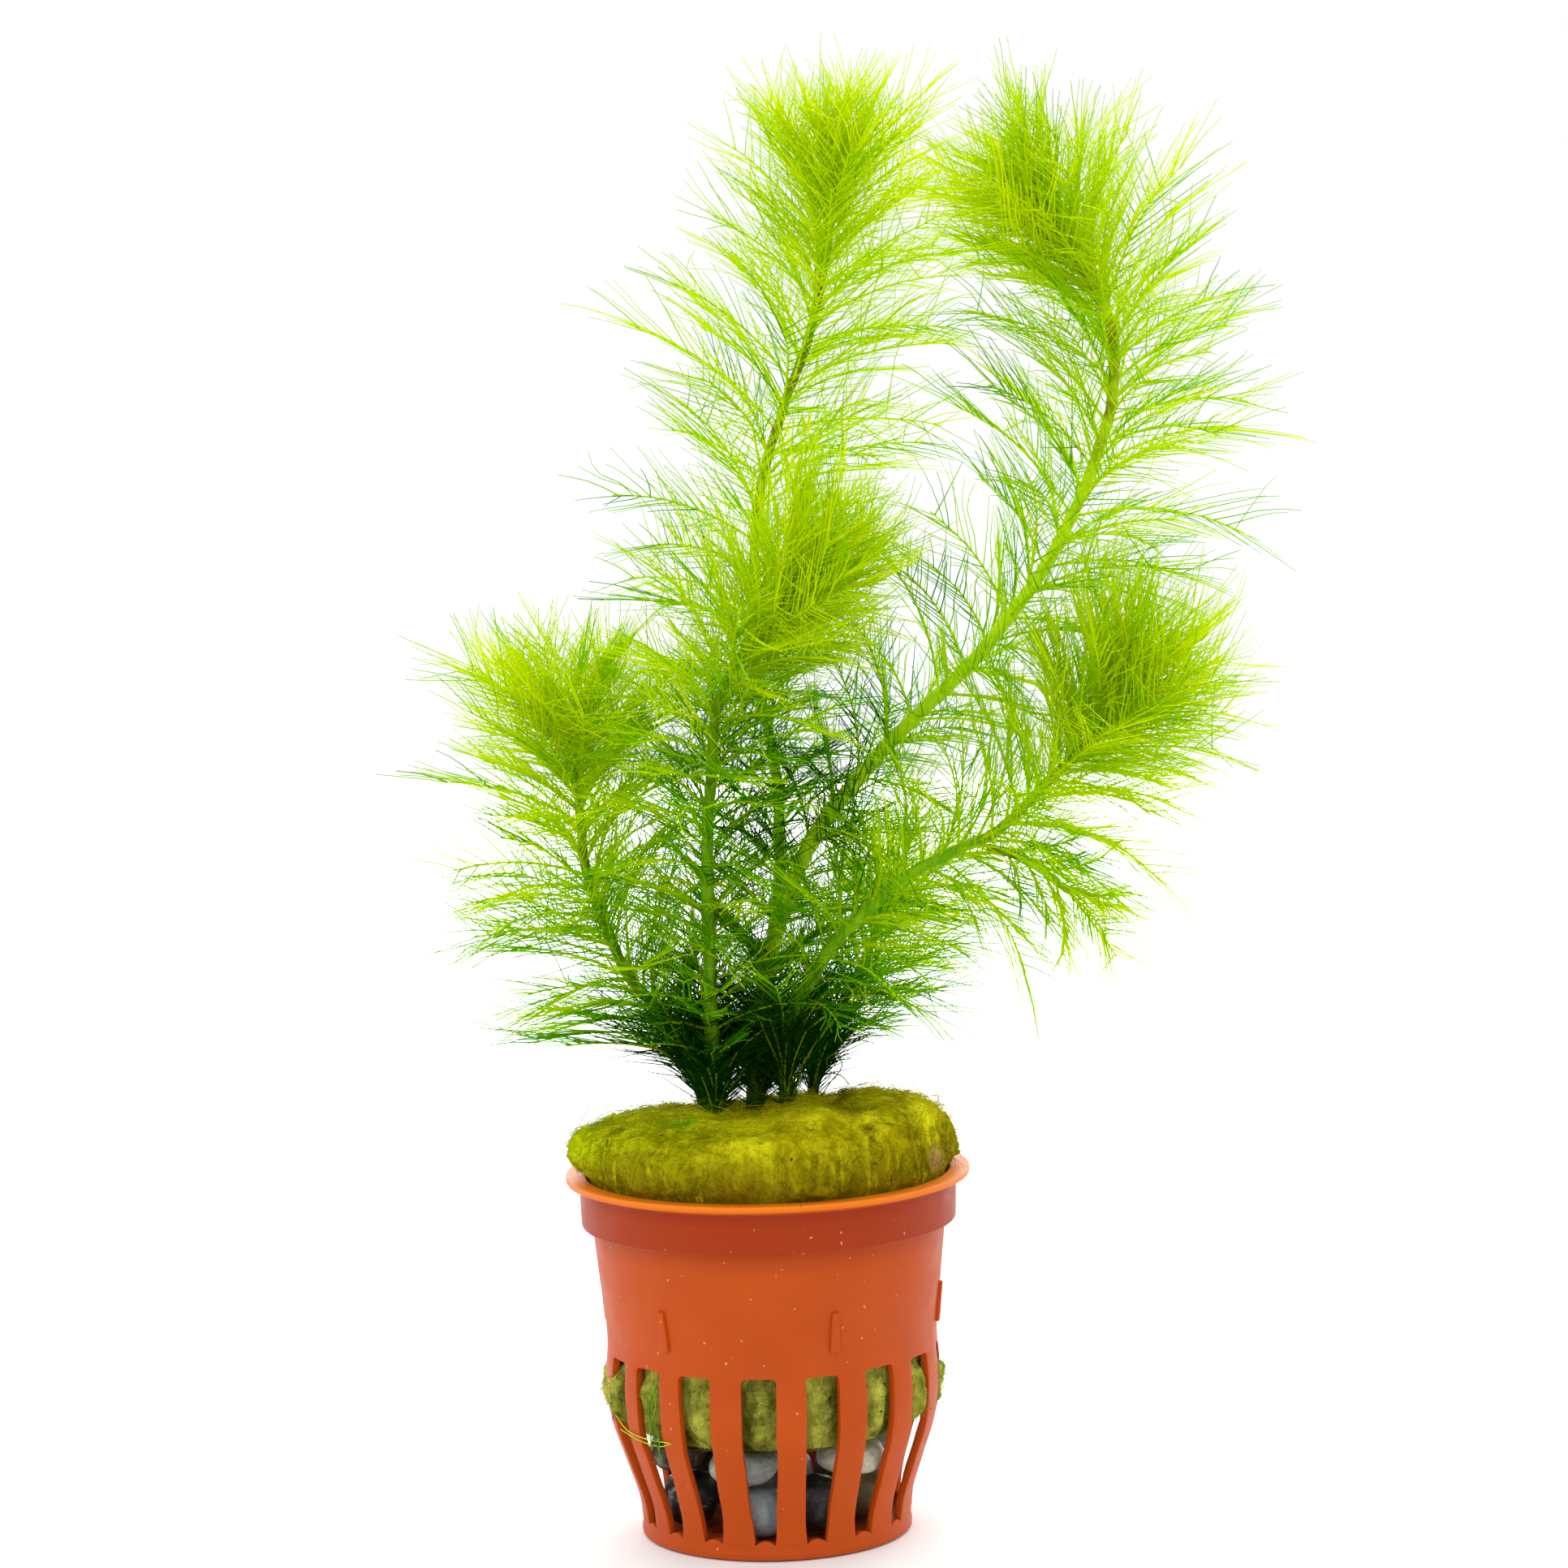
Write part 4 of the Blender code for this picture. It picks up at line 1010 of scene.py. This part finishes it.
def leafTemplate(name, seed, wet):
    # one feather leaf of unit length as loose lines: a spine and its hairs, drawn together where wet
    rng = np.random.default_rng(seed)
    points, edges = [], []
    rows = {"thick": [], "reach": [], "spine": [], "tuft": []}

    def addLine(line, thickness, isSpine, inTuft):
        first = len(points)
        points.extend(line)
        edges.extend((first + i, first + i + 1) for i in range(len(line) - 1))
        rows["thick"].extend(thickness)
        rows["reach"].extend(np.clip(line[:, 0], 0, 1.2))
        rows["spine"].extend([isSpine] * len(line))
        rows["tuft"].extend([inTuft] * len(line))

    spineLength = rng.uniform(*leaves["spineLength"])
    along = np.linspace(0, 1, 9)
    bend = rng.uniform(-0.05, 0.05)
    spineLine = np.stack([along * spineLength, bend * along ** 2, 0.03 * np.sin(along * 3)], 1)
    addLine(spineLine, leaves["spineThick"] * (1 - 0.5 * along) * mm, 1.0, 1.0)
    count, steps = leaves["hairsPerSide"], leaves["hairSteps"]
    t = np.linspace(0, 1, steps + 1)
    # nearer its tip each hair follows the leading hair of its tuft less
    hold = smoothStep(0.05, 0.5, t) * (1 - 0.75 * smoothStep(0.55, 1.0, t))
    for side in (-1, 1):
        lines, drawn = [], []
        for k in range(count):
            b = (k + 0.35 + rng.uniform(-0.2, 0.2)) / count
            foot = [np.interp(0.10 + 0.90 * b, along, spineLine[:, i]) for i in range(3)]
            wide = math.radians(rng.normal(48 - 17 * b, 5) * (1 - 0.3 * wet))
            rise = math.radians(rng.normal(14, 10))
            length = (0.23 + 0.15 * math.sin(math.pi * min(1.0, 0.2 + 0.62 * b))) * rng.uniform(0.8, 1.2)
            if rng.random() < leaves["strayHairs"]:
                wide, rise = math.radians(rng.uniform(60, 85)), math.radians(rng.uniform(10, 60))
            turn = (wide * (1 - rng.uniform(0.0, 0.3) * t))[1:]
            forward, outward = (np.concatenate([[0], np.cumsum(part * (length / steps))])
                                for part in (np.cos(turn), np.sin(turn)))
            lines.append(np.stack([foot[0] + forward, foot[1] + side * outward,
                                   foot[2] + outward * math.tan(rise) * 0.8], 1))
        k = 0
        while k < count:
            size = int(rng.integers(2, 5)) if rng.random() < 0.15 + 0.6 * wet else 1
            group = lines[k:k + size]
            pull = rng.uniform(0.5, 0.85) * (0.5 + 0.5 * wet)
            w = (pull * hold)[:, None]
            for line in group[:-1]:
                line[:] = line * (1 - w) + group[-1] * w
            drawn += [1.0 if size > 1 else 0.0] * len(group)
            k += size
        for line, inTuft in zip(lines, drawn):
            thickness = leaves["hairThick"] * rng.uniform(0.8, 1.15) * (1 - 0.58 * t) * mm
            addLine(line, thickness, 0.0, inTuft)
    mesh = newMesh(name, points, edges=edges)
    addAttributes(mesh, rows)
    return mesh


def makeTemplates(label, wetness):
    group = bpy.data.collections.new(label)
    scene.collection.children.link(group)
    for k, wet in enumerate(wetness):
        mesh = leafTemplate(f"{label}{k}", 100 * len(label) + k, wet)
        group.objects.link(bpy.data.objects.new(f"{label}{k}", mesh))
    return group


def leafTree():
    # whorls of feather leaves: each point is a whorl, and its attributes set how its leaves stand
    net, source = newTree("featherWhorls", {"Leaves": "Collection", "Wander": "Float", "Seed": "Int"})
    knots = net.one("GeometryNodeMeshToPoints", {"Mesh": source["Geometry"]})
    count = net.field("count")
    many = net.node("GeometryNodeDuplicateElements", {"Geometry": knots, "Amount": count}, domain="POINT")
    points, number = many[0], many[1]
    grown = net.times(net.field("size"), net.random(*leaves["sizes"], 21))
    for name, value in (("tone", net.random(0.0, 1.0, source["Seed"])), ("size", grown)):
        points = net.one("GeometryNodeStoreNamedAttribute", {
            "Geometry": points, "Name": name, "Value": value}, data_type="FLOAT", domain="POINT")
    size, direction = net.field("size"), net.field("direction", "FLOAT_VECTOR")
    upright = net.one("FunctionNodeAxesToRotation", {
        0: direction, 1: net.field("side", "FLOAT_VECTOR")}, primary_axis="Z", secondary_axis="X")
    step = net.math("DIVIDE", net.times(number, 2 * math.pi), count)
    around = net.plus(step, net.field("turn"), net.random(*leaves["turns"], 5))
    up = net.plus(net.field("rise"), net.random(*leaves["rises"], 8))
    rotation = net.turned(upright, ((0, 0, 1), around), ((0, -1, 0), up),
                          ((1, 0, 0), net.random(*leaves["rolls"], 12)))
    kinds = net.one("GeometryNodeCollectionInfo", {
        "Collection": source["Leaves"], "Separate Children": True, "Reset Children": True})
    pick = net.node("FunctionNodeRandomValue", {4: 0, 5: 1000, "Seed": 33}, data_type="INT")[2]
    copies = net.one("GeometryNodeInstanceOnPoints", {
        "Points": points, "Instance": kinds, "Pick Instance": True, "Instance Index": pick,
        "Rotation": rotation, "Scale": size})
    lines = net.one("GeometryNodeRealizeInstances", {0: copies})
    # towards their ends the leaves bend back along the stem, sag and wander
    reach = net.field("reach")
    curl = net.times(reach, reach, size)
    back = net.scaled(direction, net.times(curl, -1.0, net.field("bend")))
    down = net.scaled((0, 0, -1), net.times(curl, net.field("sag")))
    shake = net.drift(95.0, net.times(reach, size, source["Wander"]))
    offset = net.vectors("ADD", net.vectors("ADD", back, down), shake)
    moved = net.one("GeometryNodeSetPosition", {"Geometry": lines, "Offset": offset})
    curves = net.one("GeometryNodeMeshToCurve", {"Mesh": moved})
    return net.close(net.tubes(curves, 3, net.field("thick")), source["Material"])


def leafSize(values, u):
    low, middle, high = values
    return np.interp(u, [0, leaves["longestAt"], 0.9, 1], [low, middle, 0.75 * middle + 0.25 * high, high])


def makeLeaves(name, shoot, net, templates, material, seed):
    path = Path(shoot["path"])
    distances = whorlDistances(shoot, path)
    rooted = shoot["first"] > 10
    if rooted:
        distances = list(leaves["basal"]) + distances
    rng = np.random.default_rng(seed)
    low, high = shoot["rise"]
    points, rows = [], []
    for k, s in enumerate(distances):
        u = max(0.0, (k - len(distances) + shoot["whorls"]) / (shoot["whorls"] - 1))
        along = path.tangent(s)
        side = Vector((1, 0, 0)) - along * along.x
        side = side.normalized() if side.length > 0.05 else Vector((0, 1, 0))
        atFoot = math.exp(-((s - leaves["footAt"]) / 6) ** 2) if rooted else 0.0
        extra = shoot["crownExtra"] if u > leaves["crownAt"] else 0
        points.append(path.at(s) * mm)
        rows.append({
            "direction": tuple(along), "side": tuple(side), "share": u,
            "turn": (k % 2) * math.pi / 4 + rng.uniform(-0.25, 0.25),
            "size": leafSize(shoot["leaf"], u) * (1 - 0.3 * atFoot) * mm,
            "rise": math.radians(low + (high - low) * u ** 5 + 36 * atFoot),
            "sag": 0.03 - shoot["lift"] * u ** 4, "bend": 0.10 + 0.12 * math.sin(math.pi * u),
            "count": shoot["leavesEach"] + extra})
    mesh = newMesh(name + "_leaves", points)
    addAttributes(mesh, {key: [row[key] for row in rows] for key in rows[0]})
    piece = addPiece(name + "_leaves", mesh)
    runTree(piece, net, {"Leaves": templates, "Wander": leaves["wander"], "Seed": seed,
                         "Material": material})
    putOn(piece, name)
    print(name, "leaves:", len(piece.data.polygons), "faces")


# threads and roots that hang loose: their half thickness, how fresh they look, and their way
threads = [
    (0.07, 0.9, [(-20.3, -6.8, 16.8), (-18.6, -10.4, 15.5), (-16.2, -13.8, 15.2), (-13.2, -16.7, 15.3)]),
    (0.06, 0.8, [(-19.6, -8.4, 15.2), (-17.2, -12.6, 14.8), (-14.6, -15.5, 14.6), (-12.9, -17.0, 15.3)]),
    (0.09, 0.0, [(-14.6, -15.7, 22.5), (-15.6, -14.8, 19.5), (-15.3, -15.0, 16.5), (-14.2, -15.9, 13.0)]),
    (0.07, 0.3, [(-15.2, -15.2, 22.8), (-14.8, -15.6, 19.8), (-15.6, -14.7, 17.0), (-15.4, -14.9, 14.0)]),
    (0.07, 0.1, [(-16.0, -14.4, 21.0), (-15.2, -15.1, 18.0), (-14.5, -15.7, 15.5), (-14.6, -15.5, 12.6)]),
    (0.08, 0.5, [(7.0, 1.0, 55.6), (8.4, 0.6, 57.6), (9.9, 0.4, 59.6), (9.3, 0.4, 61.2), (8.0, 0.5, 60.6),
                 (8.4, 0.6, 59.0), (9.8, 0.6, 58.4), (10.8, 0.8, 57.2)]),
]


def makeThreads(net, material):
    points, edges, thick, fresh = [], [], [], []
    for half, look, route in threads:
        line = Path(route).points
        edges += [(len(points) + i, len(points) + i + 1) for i in range(len(line) - 1)]
        points += [p * mm for p in line]
        thick += [half * mm] * len(line)
        fresh += [look] * len(line)
    mesh = newMesh("wool_threads", points, edges=edges)
    addAttributes(mesh, {"thick": thick, "fresh": fresh})
    piece = addPiece("wool_threads", mesh)
    runTree(piece, net, {"Sides": 6, "Material": material})
    putOn(piece, "rock_wool")


leafLook = leafMaterial(leaves["look"])
stemLook = stemMaterial(stemColours)
stemTree, whorlTree = tubeTree(), leafTree()
makeThreads(stemTree, stemLook)
dryLeaves = makeTemplates("airyLeaf", leaves["dry"])
wetLeaves = makeTemplates("wetLeaf", leaves["wet"])
for number, (name, shoot) in enumerate(shoots.items()):
    templates = wetLeaves if shoot["wet"] > leaves["wetFrom"] else dryLeaves
    makeStem(name, shoot, stemTree, stemLook)
    makeLeaves(name, shoot, whorlTree, templates, leafLook, 40 + number)
for group in (dryLeaves, wetLeaves):
    for template in list(group.objects):
        bpy.data.objects.remove(template, do_unlink=True)
    bpy.data.collections.remove(group)

bpy.context.view_layer.update()
